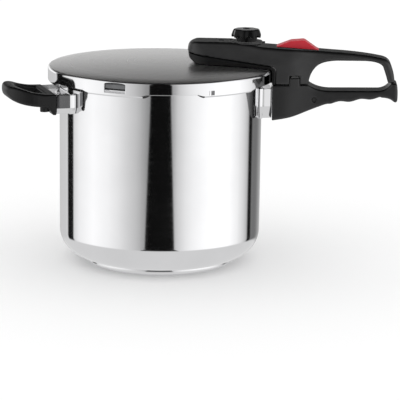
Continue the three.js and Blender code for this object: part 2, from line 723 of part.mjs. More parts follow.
function valveSpring() {
  const turns = 4;
  const steps = turns * 9;
  const points = Array.from({ length: steps + 1 }, (_, i) => {
    const a = (2 * Math.PI * turns * i) / steps;
    return [VALVE_X + 3.4 * Math.cos(a), 3.4 * Math.sin(a), 223.5 + (7.6 * i) / steps];
  });
  return wire(points, 0.55, steps);
}

function valvePlunger() {
  const profile = [[0, 215], [1.6, 215.9], [4.6, 216.5], [4.6, 222.5], [1.8, 222.5], [1.8, 229], [0, 229]];
  return turned(profile, 20).translate([VALVE_X, 0, 0]);
}

const KNOB = { neckR: 11.8, headR: 16.5, z0: 239.4, head: 247.4, top: 258.2, lobes: 9 };

function selectorKnob() {
  const { neckR, headR, z0, head, top, lobes } = KNOB;
  const profile = [
    [0, z0], [neckR, z0], [neckR, head - 0.6], [headR - 1.8, head], [headR, head + 2], [headR, head + 4],
    [headR - 2, top - 1.4], [headR - 4, top - 0.3], [0, top],
  ];
  let body = turned(profile, 36);
  for (let i = 0; i < lobes; i += 1) {
    const a = (2 * Math.PI * i) / lobes;
    const x = (headR + 1.6) * Math.cos(a);
    const y = (headR + 1.6) * Math.sin(a);
    body = body.subtract(post(x, y, 3.1, head - 3, top + 2, 10));
  }
  return body.subtract(post(0, 0, 4.2, z0 - 1, head + 4)).translate([VALVE_X, 0, 0]);
}

function selectorStem() {
  return post(VALVE_X, 0, 4.6, 232.2, KNOB.z0 - GAP).add(post(VALVE_X, 0, 3.8, 238, KNOB.head + 3.6));
}

function valveCollar() {
  const body = ring(VALVE_X, 12.4, 17.4, 242.9, 245.2, 32);
  return body.add(box(VALVE_X + 17, VALVE_X + 20.4, -1.6, 1.6, 242.9, 244.6));
}

part('valve_body', valveBody(), BRASS);
part('valve_seal', ring(VALVE_X, 6.4, 9, 214.9, 216.4), SILICONE);
part('valve_nut', hexNut(VALVE_X, 6.4, 211.6, 214.6, 9.6), STEEL);
part('valve_spring', valveSpring(), STEEL);
part('valve_plunger', valvePlunger(), BRASS);
part('selector_knob', selectorKnob(), BAKELITE);
part('selector_stem', selectorStem(), BRASS);
part('valve_collar', valveCollar(), BAKELITE);

// ---- pressure pin and safety plug ---------------------------------------------------------

function pinHousing() {
  return post(PIN_X, 0, 3.7, 208.9, 221).add(post(PIN_X, 0, 5.2, 220.7, 222.4)).subtract(post(PIN_X, 0, 2, 200, 230));
}

/** The pin hangs by its clip on the housing and rises until its head's seal meets the housing. */
function pressurePin() {
  const rod = 1.7;
  const profile = [
    [0, 200], [3.2, 200.2], [3.2, 202], [rod, 202], [rod, 222.8], [2.8, 222.8], [2.8, 223.8], [rod, 223.8],
    [rod, 240.9], [1, 241.5], [0, 241.5],
  ];
  return turned(profile, 20).translate([PIN_X, 0, 0]);
}

function safetyPlug() {
  return post(SAFETY_X, 0, 4.1, 213.5, 221.8).add(post(SAFETY_X, 0, 6.2, 221.4, 226.2, 6));
}

part('pin_housing', pinHousing(), BRASS);
part('pin_nut', hexNut(PIN_X, 4, 214.6, 217.6, 6.6), STEEL);
part('pressure_pin', pressurePin(), STEEL);
part('pin_seal', ring(PIN_X, 2, 3.2, 202.3, 203.3), SILICONE);
part('safety_plug', safetyPlug(), BRASS);
part('safety_nut', hexNut(SAFETY_X, 4.4, 215.4, 218.6, 6.6), STEEL);

// ---- lock slider and bolt -----------------------------------------------------------------

const STEM_X = 145; // centre of the slider's stem

function lockSlider() {
  const lift = 0.35;
  const outline = [
    [125.6, topAt(125.6) + lift], [126.6, topAt(126.6) + 1.2], [141.6, 246.6], [155, 247.8], [157, 247.2],
    [169.6, topAt(169.6) + 1.4], [172.4, topAt(172.4) + lift],
  ];
  return across(outline, 8.6).add(box(STEM_X - 3, STEM_X + 3, -3, 3, BOLT.z1 + GAP, 243))
    .subtract(post(STEM_X, 0, 1.7, 225, 237));
}

function lockBolt() {
  const plate = box(BOLT.x0, BOLT.x1, -7, 7, BOLT.z0, BOLT.z1);
  const leg = box(BOLT.leg, BOLT.x1, -4.4, 4.4, BOLT.foot, BOLT.z1);
  return plate.add(leg).subtract(post(STEM_X, 0, 1.7, 225, 240));
}

function sliderScrew() {
  return post(STEM_X, 0, 2.8, BOLT.z0 - 2.1, BOLT.z0 - GAP).add(post(STEM_X, 0, 1.4, BOLT.z0 - 1, 236.4));
}

part('lock_slider', lockSlider(), RED);
part('lock_bolt', lockBolt(), STEEL);
part('slider_screw', sliderScrew(), STEEL);

export default group;
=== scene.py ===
import math

import bmesh
import bpy
import numpy as np
from mathutils import Matrix, Vector


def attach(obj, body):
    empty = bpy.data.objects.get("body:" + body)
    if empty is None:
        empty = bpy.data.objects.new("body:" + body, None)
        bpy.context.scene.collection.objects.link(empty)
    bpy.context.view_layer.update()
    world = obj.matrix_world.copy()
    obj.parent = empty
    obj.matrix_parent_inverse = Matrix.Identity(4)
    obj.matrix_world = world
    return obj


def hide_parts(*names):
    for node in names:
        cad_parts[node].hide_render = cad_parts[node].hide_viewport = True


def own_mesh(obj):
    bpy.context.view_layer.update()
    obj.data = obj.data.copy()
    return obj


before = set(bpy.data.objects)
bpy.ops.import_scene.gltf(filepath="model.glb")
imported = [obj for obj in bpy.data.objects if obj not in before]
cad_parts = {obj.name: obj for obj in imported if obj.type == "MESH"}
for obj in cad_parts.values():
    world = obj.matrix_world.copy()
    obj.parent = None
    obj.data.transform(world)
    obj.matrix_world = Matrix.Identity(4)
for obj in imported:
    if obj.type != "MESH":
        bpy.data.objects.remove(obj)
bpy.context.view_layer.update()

MM = 0.001
WELD = 1e-6  # metres within which two points are one

# ---- driving dimensions, in millimetres and degrees ----

POT_R = 111.0
POT_WALL = 1.2
POT_CORNER = 29.0
POT_FLOOR = 6.0
POT_RIM = 206.4
FLANGE_R = 118.0
FLANGE_T = 1.4
LID_R = 123.7
LID_SHEET = 1.5
CREST_R = 120.7
CREST = 217.0
CROWN = 221.4
RIM_BEND_R = 105.0
RIM_DROP = 0.45
ROLL_START = 82.0  # degrees above level at which the rim's roll takes over from the dome
HEM = 200.3  # 0.7 below the CAD hem
LUGS = 6
LUG_FIRST = 10.5
LID_LUG_HALF = 14.0
POT_LUG_HALF = 13.0
LUG_STEP = 3.4  # the hem hangs this far below the cut-outs
LUG_INNER_R = 114.3
NOTCH_R = 113.2
SIDE_AZIMUTH = 201.5
VALVE_X = 93.0
KNOB_LOBES = 9
PIN_X = 66.0
SAFETY_X = 44.0
SCREW_X = 131.0
SEAM = 200.2
GAP = 0.3
SEAM_GAP = 1.0  # the visible gap over the parting plane, rounded edges included
HEAD_HALF = 24.0
GRIP_HALF = 14.5
SLOPE = -0.056


# ---- mesh helpers ----

def add_mesh(name, verts, faces, material, body, smooth=True):
    """A mesh object from points in millimetres, riding on a body."""
    mesh = bpy.data.meshes.new(name)
    points = [tuple(v) for v in np.asarray(verts) * MM]
    mesh.from_pydata(points, [], [tuple(int(i) for i in f) for f in faces])
    mesh.validate()
    obj = bpy.data.objects.new(name, mesh)
    bpy.context.scene.collection.objects.link(obj)
    for one in (material if isinstance(material, (list, tuple)) else [material]):
        mesh.materials.append(one)
    if smooth:
        mesh.shade_smooth()
    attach(obj, body)
    return obj


def weld(obj):
    """Joins coincident points and turns the faces outward."""
    bm = bmesh.new()
    bm.from_mesh(obj.data)
    bmesh.ops.remove_doubles(bm, verts=bm.verts, dist=WELD)
    bmesh.ops.recalc_face_normals(bm, faces=bm.faces)
    bm.to_mesh(obj.data)
    bm.free()


def sharpen(obj, angle):
    """Splits the shading where faces meet at more than the angle."""
    obj.data.set_sharp_from_angle(angle=math.radians(angle))


def bevel(obj, width):
    mod = obj.modifiers.new("edges", "BEVEL")
    mod.width = width * MM
    mod.segments = 2
    mod.limit_method = "ANGLE"
    mod.angle_limit = math.radians(35)
    mod.harden_normals = True


def round_axis(r, azimuth, z):
    """The point at a radius, an azimuth in degrees and a height."""
    return (r * math.cos(math.radians(azimuth)), r * math.sin(math.radians(azimuth)), z)


def spun(verts, degrees):
    """The points turned about Z."""
    c, s = math.cos(math.radians(degrees)), math.sin(math.radians(degrees))
    return np.array(verts) @ np.array([[c, s, 0], [-s, c, 0], [0, 0, 1]])


def arc(cx, cz, r, a0, a1, steps):
    angles = np.radians(np.linspace(a0, a1, steps + 1))
    return [(cx + r * math.cos(a), cz + r * math.sin(a)) for a in angles]


def run_along(points):
    """Arc length from the start of a polyline to each of its points."""
    return np.concatenate([[0], np.cumsum(np.hypot(*np.diff(np.array(points), axis=0).T))])


def polyline_at(points, s):
    """The point at an arc length s along a polyline."""
    return [np.interp(s, run_along(points), values) for values in zip(*points)]


def smooth_line(points, steps):
    """Catmull-Rom curve through points, with that many steps in each span."""
    p = np.asarray(points, float)
    p = np.vstack([2 * p[0] - p[1], p, 2 * p[-1] - p[-2]])
    out = []
    for i in range(1, len(p) - 2):
        for t in np.linspace(0, 1, steps, endpoint=False):
            a, b, c, d = p[i - 1], p[i], p[i + 1], p[i + 2]
            out.append(0.5 * (2 * b + (c - a) * t + (2 * a - 5 * b + 4 * c - d) * t * t
                              + (3 * b - a - 3 * c + d) * t ** 3))
    out.append(p[-2])
    return [tuple(v) for v in out]


def curve(start, *spans):
    """A polyline of straight, quadratic and cubic spans, each given by its control points and end."""
    out = [np.array(start, float)]
    for span in spans:
        ctrl = [out[-1]] + [np.array(p, float) for p in span]
        n = len(ctrl) - 1
        if n == 1:
            out.append(ctrl[1])
            continue
        for t in np.linspace(0, 1, 17)[1:]:
            out.append(sum(math.comb(n, k) * (1 - t) ** (n - k) * t ** k * c for k, c in enumerate(ctrl)))
    return [tuple(v) for v in out]


def grid_faces(rows, cols, keep=None):
    """Quads between rows of points that close on themselves; keep picks them by row and column."""
    faces = []
    for j in range(rows - 1):
        for i in range(cols):
            if keep is None or keep(j, i):
                k = (i + 1) % cols
                faces.append((j * cols + i, j * cols + k, (j + 1) * cols + k, (j + 1) * cols + i))
    return faces


def revolve(name, outline, material, body, columns=None, clamp=None):
    """A solid of revolution from a closed (r, z) outline; clamp limits the radius at an azimuth."""
    columns = np.linspace(0, 360, 240, endpoint=False) if columns is None else columns
    verts = []
    for r, z in outline:
        for a in columns:
            verts.append(round_axis(r if clamp is None else clamp(r, z, a), a, z))
    obj = add_mesh(name, verts, grid_faces(len(outline), len(columns)), material, body)
    weld(obj)
    sharpen(obj, 40)
    return obj


# ---- solids from distance fields ----

def polygon_field(points, u, v):
    """Signed distance from a closed polygon on the grid u x v, negative inside."""
    pts = np.asarray(points, float)
    uu, vv = np.meshgrid(u, v, indexing="ij")
    best = np.full(uu.shape, 1e9)
    inside = np.zeros(uu.shape, bool)
    for (ax, ay), (bx, by) in zip(pts, np.roll(pts, -1, axis=0)):
        dx, dy = bx - ax, by - ay
        span = dx * dx + dy * dy
        if span < 1e-12:
            continue
        t = np.clip(((uu - ax) * dx + (vv - ay) * dy) / span, 0, 1)
        best = np.minimum(best, np.hypot(uu - ax - t * dx, vv - ay - t * dy))
        if ay != by:
            cross = ((ay > vv) != (by > vv)) & (uu < dx * (vv - ay) / dy + ax)
            inside ^= cross
    return np.where(inside, -best, best)


def rounded(radius, *fields):
    """Intersection of solids whose shared edges get that radius."""
    lifted = [f + radius for f in fields]
    top = lifted[0]
    square = np.maximum(lifted[0], 0) ** 2
    for f in lifted[1:]:
        top = np.maximum(top, f)
        square = square + np.maximum(f, 0) ** 2
    return np.sqrt(square) + np.minimum(top, 0) - radius


def joined(radius, *fields):
    """Union of solids whose shared inner corners get that radius."""
    return -rounded(radius, *[-f for f in fields])


class Field:
    """A grid of millimetre points to build one solid on, turned into quads by surface nets."""

    def __init__(self, lo, hi, step):
        self.step = step
        self.axes = [np.arange(a - 2 * step, b + 3 * step, step) for a, b in zip(lo, hi)]

    @property
    def xyz(self):
        return np.meshgrid(*self.axes, indexing="ij", sparse=True)

    def side(self, outline):
        return polygon_field(outline, self.axes[0], self.axes[2])[:, None, :]

    def plan(self, outline):
        return polygon_field(outline, self.axes[0], self.axes[1])[:, :, None]

    def section(self, outline):
        return polygon_field(outline, self.axes[1], self.axes[2])[None, :, :]

    def box(self, x0, x1, y0, y1, z0, z1):
        x, y, z = self.xyz
        return rounded(1e-6, np.maximum(x0 - x, x - x1), np.maximum(y0 - y, y - y1),
                       np.maximum(z0 - z, z - z1))

    def post(self, cx, cy, r, z0, z1):
        x, y, z = self.xyz
        return np.maximum(np.hypot(x - cx, y - cy) - r, np.maximum(z0 - z, z - z1))

    def turned(self, outline):
        """A solid of revolution about Z from an (r, z) outline that starts and ends on the axis."""
        x, y, z = self.xyz
        r = np.arange(0, 180, self.step)
        mirrored = list(outline) + [(-a, b) for a, b in reversed(outline)]
        table = polygon_field(mirrored, r, self.axes[2])
        radius = np.hypot(x, y)[:, :, 0] / self.step
        low = np.clip(radius.astype(int), 0, len(r) - 2)
        part = (radius - low)[:, :, None]
        return table[low] * (1 - part) + table[low + 1] * part

    def mesh(self, field, name, material, body, slot, angle=55, turn=0.0):
        verts, quads = surface_net(field, self.axes, self.step)
        obj = add_mesh(name, spun(verts, turn) if turn else verts, quads, material, body)
        sharpen(obj, angle)
        return obj


def surface_net(field, axes, step):
    inside = field < 0
    shape = tuple(n - 1 for n in field.shape)
    total = np.zeros(shape + (3,))
    count = np.zeros(shape)
    corners = [(i, j, k) for i in (0, 1) for j in (0, 1) for k in (0, 1)]

    def at(grid, c):
        return grid[c[0]:c[0] + shape[0], c[1]:c[1] + shape[1], c[2]:c[2] + shape[2]]

    for a in corners:
        for axis in range(3):
            if a[axis]:
                continue
            b = tuple(v + (n == axis) for n, v in enumerate(a))
            crossing = at(inside, a) != at(inside, b)
            fa, fb = at(field, a)[crossing], at(field, b)[crossing]
            point = np.zeros((len(fa), 3)) + np.array(a, float)
            point[:, axis] += fa / (fa - fb)
            total[crossing] += point
            count[crossing] += 1
    used = count > 0
    index = np.full(shape, -1)
    index[used] = np.arange(used.sum())
    where = np.argwhere(used)
    verts = where + total[used] / count[used][:, None]
    verts = verts * step + np.array([a[0] for a in axes])
    quads = []
    for axis in range(3):
        one, two = [n for n in range(3) if n != axis]
        lo = [slice(1, -1)] * 3
        lo[axis] = slice(0, -1)
        hi = [slice(1, -1)] * 3
        hi[axis] = slice(1, None)
        change = inside[tuple(lo)] != inside[tuple(hi)]
        cells = np.argwhere(change)
        cells[:, one] += 1
        cells[:, two] += 1
        flip = inside[tuple(lo)][change]
        ring = []
        for da, db in ((-1, -1), (0, -1), (0, 0), (-1, 0)):
            c = cells.copy()
            c[:, one] += da
            c[:, two] += db
            ring.append(index[tuple(c.T)])
        ring = np.stack(ring, -1)
        outward = flip if axis != 1 else ~flip
        quads.append(np.where(outward[:, None], ring, ring[:, ::-1]))
    return verts, np.concatenate(quads)


# ---- materials ----

def new_material(name, base, metallic, roughness):
    mat = bpy.data.materials.new(name)
    mat.use_nodes = True
    nodes, links = mat.node_tree.nodes, mat.node_tree.links
    shader = nodes["Principled BSDF"]
    shader.inputs["Base Color"].default_value = (*base, 1)
    shader.inputs["Metallic"].default_value = metallic
    shader.inputs["Roughness"].default_value = roughness
    return mat, nodes, links, shader


def noise(nodes, links, vector, scale, detail=3.0, rough=0.55):
    node = nodes.new("ShaderNodeTexNoise")
    node.inputs["Scale"].default_value = scale
    node.inputs["Detail"].default_value = detail
    node.inputs["Roughness"].default_value = rough
    links.new(vector, node.inputs["Vector"])
    return node.outputs["Fac"]


def stretched(nodes, links, scale):
    coord = nodes.new("ShaderNodeTexCoord")
    mapping = nodes.new("ShaderNodeMapping")
    mapping.inputs["Scale"].default_value = scale
    links.new(coord.outputs["Object"], mapping.inputs["Vector"])
    return mapping.outputs["Vector"]


def map_range(nodes, links, value, start, end, low=0.0, high=1.0):
    node = nodes.new("ShaderNodeMapRange")
    for socket, number in zip(("From Min", "From Max", "To Min", "To Max"), (start, end, low, high)):
        node.inputs[socket].default_value = number
    links.new(value, node.inputs["Value"])
    return node.outputs["Result"]


def spread(nodes, links, value, low, high):
    """Takes the middle of a noise to the range from low to high."""
    return map_range(nodes, links, value, 0.3, 0.7, low, high)


def feed(links, socket, value):
    """Gives a socket a fixed value, or the output of another node."""
    if isinstance(value, (int, float, tuple)):
        socket.default_value = value
    else:
        links.new(value, socket)


def colour_mix(nodes, links, factor, first, second, blend_type="MIX"):
    node = nodes.new("ShaderNodeMix")
    node.data_type = "RGBA"
    node.blend_type = blend_type
    feed(links, node.inputs["Factor"], factor)
    feed(links, node.inputs[6], first)
    feed(links, node.inputs[7], second)
    return node.outputs[2]


def tint(nodes, links, value, dark, light):
    ramp = nodes.new("ShaderNodeValToRGB")
    ramp.color_ramp.elements[0].position = 0.3
    ramp.color_ramp.elements[0].color = (*dark, 1)
    ramp.color_ramp.elements[1].position = 0.7
    ramp.color_ramp.elements[1].color = (*light, 1)
    links.new(value, ramp.inputs["Fac"])
    return ramp.outputs["Color"]


def bump(nodes, links, shader, height, strength, distance):
    node = nodes.new("ShaderNodeBump")
    node.inputs["Strength"].default_value = strength
    node.inputs["Distance"].default_value = distance
    links.new(height, node.inputs["Height"])
    links.new(node.outputs["Normal"], shader.inputs["Normal"])


def math_node(nodes, links, operation, a, b=0.0, clamp=False):
    node = nodes.new("ShaderNodeMath")
    node.operation = operation
    node.use_clamp = clamp
    feed(links, node.inputs[0], a)
    feed(links, node.inputs[1], b)
    return node.outputs["Value"]


def grained(name, dark, light, metallic, rough, stretch, scale, strength, distance, mottle=18.0):
    """A finish with mottled colour, uneven roughness and a fine grain that may run one way."""
    mat, nodes, links, shader = new_material(name, light, metallic, rough[0])
    flat = stretched(nodes, links, (1, 1, 1))
    links.new(tint(nodes, links, noise(nodes, links, flat, mottle), dark, light), shader.inputs["Base Color"])
    grain = noise(nodes, links, stretched(nodes, links, stretch), scale, 4.0)
    links.new(spread(nodes, links, grain, *rough), shader.inputs["Roughness"])
    bump(nodes, links, shader, grain, strength, distance)
    return mat


def concentric(name, dark, light, rough, scale, strength, distance):
    """Brushed metal whose lines run round the Z axis."""
    mat, nodes, links, shader = new_material(name, light, 1.0, rough[0])
    coord = nodes.new("ShaderNodeTexCoord")
    split = nodes.new("ShaderNodeSeparateXYZ")
    links.new(coord.outputs["Object"], split.inputs["Vector"])
    flat = nodes.new("ShaderNodeCombineXYZ")
    links.new(split.outputs["X"], flat.inputs["X"])
    links.new(split.outputs["Y"], flat.inputs["Y"])
    radius = nodes.new("ShaderNodeVectorMath")
    radius.operation = "LENGTH"
    links.new(flat.outputs["Vector"], radius.inputs[0])
    lines = nodes.new("ShaderNodeTexNoise")
    lines.noise_dimensions = "1D"
    lines.inputs["Scale"].default_value = scale
    lines.inputs["Detail"].default_value = 5.0
    links.new(radius.outputs["Value"], lines.inputs["W"])
    links.new(tint(nodes, links, lines.outputs["Fac"], dark, light), shader.inputs["Base Color"])
    links.new(spread(nodes, links, lines.outputs["Fac"], *rough), shader.inputs["Roughness"])
    bump(nodes, links, shader, lines.outputs["Fac"], strength, distance)
    return mat


ROUND_GRAIN = (0.06, 0.06, 1.0)
polished = grained("polished_steel", (0.79, 0.79, 0.80), (0.83, 0.83, 0.84), 1.0, (0.045, 0.085),
                   ROUND_GRAIN, 420.0, 0.0015, 0.0002)
inner_steel = grained("inner_steel", (0.66, 0.66, 0.67), (0.72, 0.72, 0.73), 1.0, (0.24, 0.34),
                      ROUND_GRAIN, 500.0, 0.08, 0.0002)
satin = concentric("satin_lid", (0.86, 0.85, 0.845), (0.92, 0.915, 0.91), (0.27, 0.34),
                   900.0, 0.08, 0.0002)
base_brushed = concentric("brushed_base", (0.60, 0.60, 0.61), (0.70, 0.70, 0.71), (0.28, 0.40),
                          700.0, 0.15, 0.0002)
fittings = grained("fittings_steel", (0.62, 0.62, 0.63), (0.72, 0.72, 0.73), 1.0, (0.16, 0.28),
                   (1, 1, 1), 300.0, 0.05, 0.0002)
wire_steel = grained("wire_steel", (0.66, 0.66, 0.67), (0.76, 0.76, 0.77), 1.0, (0.12, 0.22),
                     (1, 1, 1), 260.0, 0.04, 0.0002)
aluminium = grained("pressed_aluminium", (0.62, 0.63, 0.64), (0.70, 0.71, 0.72), 1.0, (0.35, 0.5),
                    (1, 1, 1), 240.0, 0.10, 0.0003)
brass = grained("turned_brass", (0.58, 0.44, 0.20), (0.70, 0.55, 0.27), 1.0, (0.22, 0.34),
                (1, 1, 0.1), 420.0, 0.06, 0.0002)


TOP_SHADE_SHINE = 0.04  # specular level of faces that look up, a painted shade that keeps the tops dark
SEAM_SHADE_REACH = 0.003  # metres within which another face counts as a seam's other wall, for the painted shade in seams


def bakelite_finish(name, side, top, shine=0.5, rough=(0.34, 0.46), grain_scale=1400.0):
    """Black bakelite: smooth flanks with that shine; faces that look up get painted shade, a darker colour
    and little shine, and seams get painted shade with no shine.
    """
    mat, nodes, links, shader = new_material(name, side, 0.0, rough[0])
    geometry = nodes.new("ShaderNodeNewGeometry")
    split = nodes.new("ShaderNodeSeparateXYZ")
    links.new(geometry.outputs["True Normal"], split.inputs["Vector"])
    # painted shade: faces that look up take the darker top colour and less shine
    top_shade = map_range(nodes, links, split.outputs["Z"], 0.25, 0.85)
    flat = stretched(nodes, links, (1, 1, 1))
    dark, light = (tuple(share * v for v in side) for share in (0.8, 1.15))
    mottle = tint(nodes, links, noise(nodes, links, flat, 70.0), dark, light)
    links.new(colour_mix(nodes, links, top_shade, mottle, (*top, 1)), shader.inputs["Base Color"])
    gloss = map_range(nodes, links, top_shade, 0.0, 1.0, shine, TOP_SHADE_SHINE)
    # painted shade in seams: ambient occlusion takes the shine out of narrow gaps
    seam = nodes.new("ShaderNodeAmbientOcclusion")
    seam.samples = 8
    seam.inputs["Distance"].default_value = SEAM_SHADE_REACH
    open_air = map_range(nodes, links, seam.outputs["AO"], 0.3, 0.62)
    lit = math_node(nodes, links, "MULTIPLY", gloss, open_air)
    links.new(lit, shader.inputs["Specular IOR Level"])
    grain = noise(nodes, links, flat, grain_scale, 4.0)
    links.new(spread(nodes, links, grain, *rough), shader.inputs["Roughness"])
    bump(nodes, links, shader, grain, 0.10, 0.0003)
    return mat


# the knob's own black, and the painted shade on the tops of the other bakelite pieces
BLACK_AND_TOP_SHADE = (0.004, 0.004, 0.0042)
# darker black of the shaded copies: painted shade on the under-shell and the side grip
SHADED_COPY_BLACK = (0.006, 0.006, 0.0063)
bakelite = bakelite_finish("black_bakelite", (0.012, 0.012, 0.0125), BLACK_AND_TOP_SHADE)
# the cover's copy is this bakelite painted lighter, as painted light; the under-shell's and the side grip's
# copies are painted darker, as painted shade
cover_bakelite_lit_copy = bakelite_finish("cover_bakelite_lit_copy", (0.022, 0.022, 0.0226), BLACK_AND_TOP_SHADE)
shell_bakelite_shaded_copy = bakelite_finish("shell_bakelite_shaded_copy", SHADED_COPY_BLACK, BLACK_AND_TOP_SHADE, 0.22)
side_bakelite_shaded_copy = bakelite_finish("side_bakelite_shaded_copy", SHADED_COPY_BLACK, (0.003, 0.003, 0.0031), 0.28)
knob_bakelite = bakelite_finish("knob_bakelite", BLACK_AND_TOP_SHADE, BLACK_AND_TOP_SHADE, 0.14, (0.18, 0.28), 1200.0)
red = grained("red_plastic", (0.50, 0.008, 0.022), (0.60, 0.013, 0.030), 0.0, (0.34, 0.46),
              (1, 1, 1), 1200.0, 0.05, 0.0002, mottle=40.0)
silicone = grained("grey_silicone", (0.10, 0.103, 0.107), (0.15, 0.153, 0.157), 0.0, (0.5, 0.65),
                   (1, 1, 1), 700.0, 0.15, 0.0004, mottle=50.0)
# dark copy of the polished steel: painted shade and reflection on the side ferrule's panel
panel_painted_shade_steel = grained("panel_steel_painted_shade", (0.13, 0.13, 0.135), (0.18, 0.18, 0.185), 1.0, (0.22, 0.34),
                     (1, 1, 0.1), 420.0, 0.05, 0.0002)
# dark steel: the pin's own colour, and painted shade at the ends of the lugs' hems
dark_pin_and_shade_steel = grained("dark_pin_steel_and_painted_shade", (0.05, 0.05, 0.05), (0.09, 0.09, 0.09), 1.0, (0.35, 0.5),
                     (1, 1, 1), 300.0, 0.05, 0.0002)


# ---- pot ----

lug_azimuths = [LUG_FIRST + i * 360 / LUGS for i in range(LUGS)]
gap_azimuths = [a + 180 / LUGS for a in lug_azimuths]
FACETS = 300


def off_azimuth(a, centre):
    return abs((a - centre + 180) % 360 - 180)


def in_sector(a, centres, half):
    return any(off_azimuth(a, c) < half for c in centres)


def stepped_columns(centres, half, extra=()):
    """Evenly spaced azimuths, with a close pair at both edges of every sector."""
    eps = 0.04
    cols = list(np.linspace(0, 360, FACETS, endpoint=False))
    edges = [(c + s * half) for c in centres for s in (-1, 1)]
    cols = [c for c in cols if all(off_azimuth(c, e) > 0.3 for e in edges)]
    cols += [(e + s * eps) % 360 for e in edges for s in (-1, 1)]
    cols += [c % 360 for c in extra]
    return np.array(sorted(cols))


def make_pot():
    inner = POT_R - POT_WALL
    flat = POT_R - POT_CORNER
    corner_z = POT_FLOOR + POT_CORNER
    under = POT_RIM - FLANGE_T
    bend = 1.8
    outline = [(0, POT_FLOOR), (flat * 0.5, POT_FLOOR)]
    outline += arc(flat, corner_z, POT_CORNER, -90, 0, 28)
    outline += [(POT_R, corner_z + 0.6)]
    outline += [(POT_R, z) for z in np.linspace(corner_z, under - bend, 24)[1:-1]]
    outline += [(POT_R, under - bend - rise) for rise in (0.8, 0.25)]
    outline += arc(POT_R + bend, under - bend, bend, 180, 90, 6)
    outline += [(FLANGE_R - 0.5, under), (FLANGE_R, under + 0.4)]
    outline += [(FLANGE_R, POT_RIM - 0.4), (FLANGE_R - 0.5, POT_RIM)]
    outline += arc(POT_R + bend, under - bend, bend + FLANGE_T, 90, 180, 6)
    outline = [(max(r, inner) if z > 190 else r, z) for r, z in outline]
    outline += [(inner, z) for z in np.linspace(under - bend - 2, corner_z, 14)[:-1]]
    outline += arc(flat, corner_z, POT_CORNER - POT_WALL, 0, -90, 14)
    outline += [(0, POT_FLOOR + POT_WALL)]
    half = 180 / LUGS - POT_LUG_HALF

    def notch(r, z, a):
        return min(r, NOTCH_R) if z > 200 and in_sector(a, gap_azimuths, half) else r

    pot = revolve("pot_wall", outline, [polished, inner_steel], "pot",
                  stepped_columns(gap_azimuths, half), notch)
    for poly in pot.data.polygons:
        centre = poly.center
        r = math.hypot(centre.x, centre.y) / MM
        if poly.normal.dot(Vector((centre.x, centre.y, 0))) < 0 and r < inner + 0.3 or (
                r < inner - 1 and poly.normal.z > 0.3):
            poly.material_index = 1
    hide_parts("pot_body")


def make_base():
    outer = 82.0
    outline = [(0, 0), (20, 0), (21, 0.5), (46, 0.5), (47, 0), (outer - 1.8, 0)]
    outline += arc(outer - 1.8, 1.8, 1.8, -90, 0, 6)
    outline += [(outer, 5.3), (outer - 0.4, 5.7), (outer - 1, 5.7), (outer - 1, 1.1), (0, 1.1)]
    cap = revolve("base_disc", outline, [polished, base_brushed], "pot")
    for poly in cap.data.polygons:
        if poly.normal.z < -0.7:
            poly.material_index = 1
    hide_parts("base_cap")


make_pot()
make_base()


# ---- lid ----

def lid_top_line():
    """Shallow dome that bends down a little more toward the rim."""
    radii = np.concatenate([np.linspace(0, RIM_BEND_R, 20), np.linspace(RIM_BEND_R, CREST_R, 9)[1:]])
    bend = RIM_DROP * (np.clip(radii - RIM_BEND_R, 0, None) / (CREST_R - RIM_BEND_R)) ** 2
    return list(zip(radii, CROWN - (CROWN - CREST) * (radii / CREST_R) ** 2 - bend))


WINDOW_AZIMUTH = LUG_FIRST - 119.4
WINDOW_HALF = 12.0
WINDOW_SILL = 0.35  # height of the window's sill over the foot of the skirt
WINDOW_SPRING = CREST - 3.8
WINDOW_RISE = 0.16
LUG_END = 3.6  # degrees over which a lug's hem curls away at its ends
FITTING_HOLE = 6.5  # clearance radius where the plunger and the pressure pin pass through the lid
LUG_LAP = 4.0  # degrees by which the hems reach further into the cut-outs than in CAD
HEM_BEAD = 0.7  # radius of the raw edge at a hem's end
GAP_HALF = 180 / LUGS - LID_LUG_HALF - LUG_LAP  # half a cut-out between two hems, in degrees


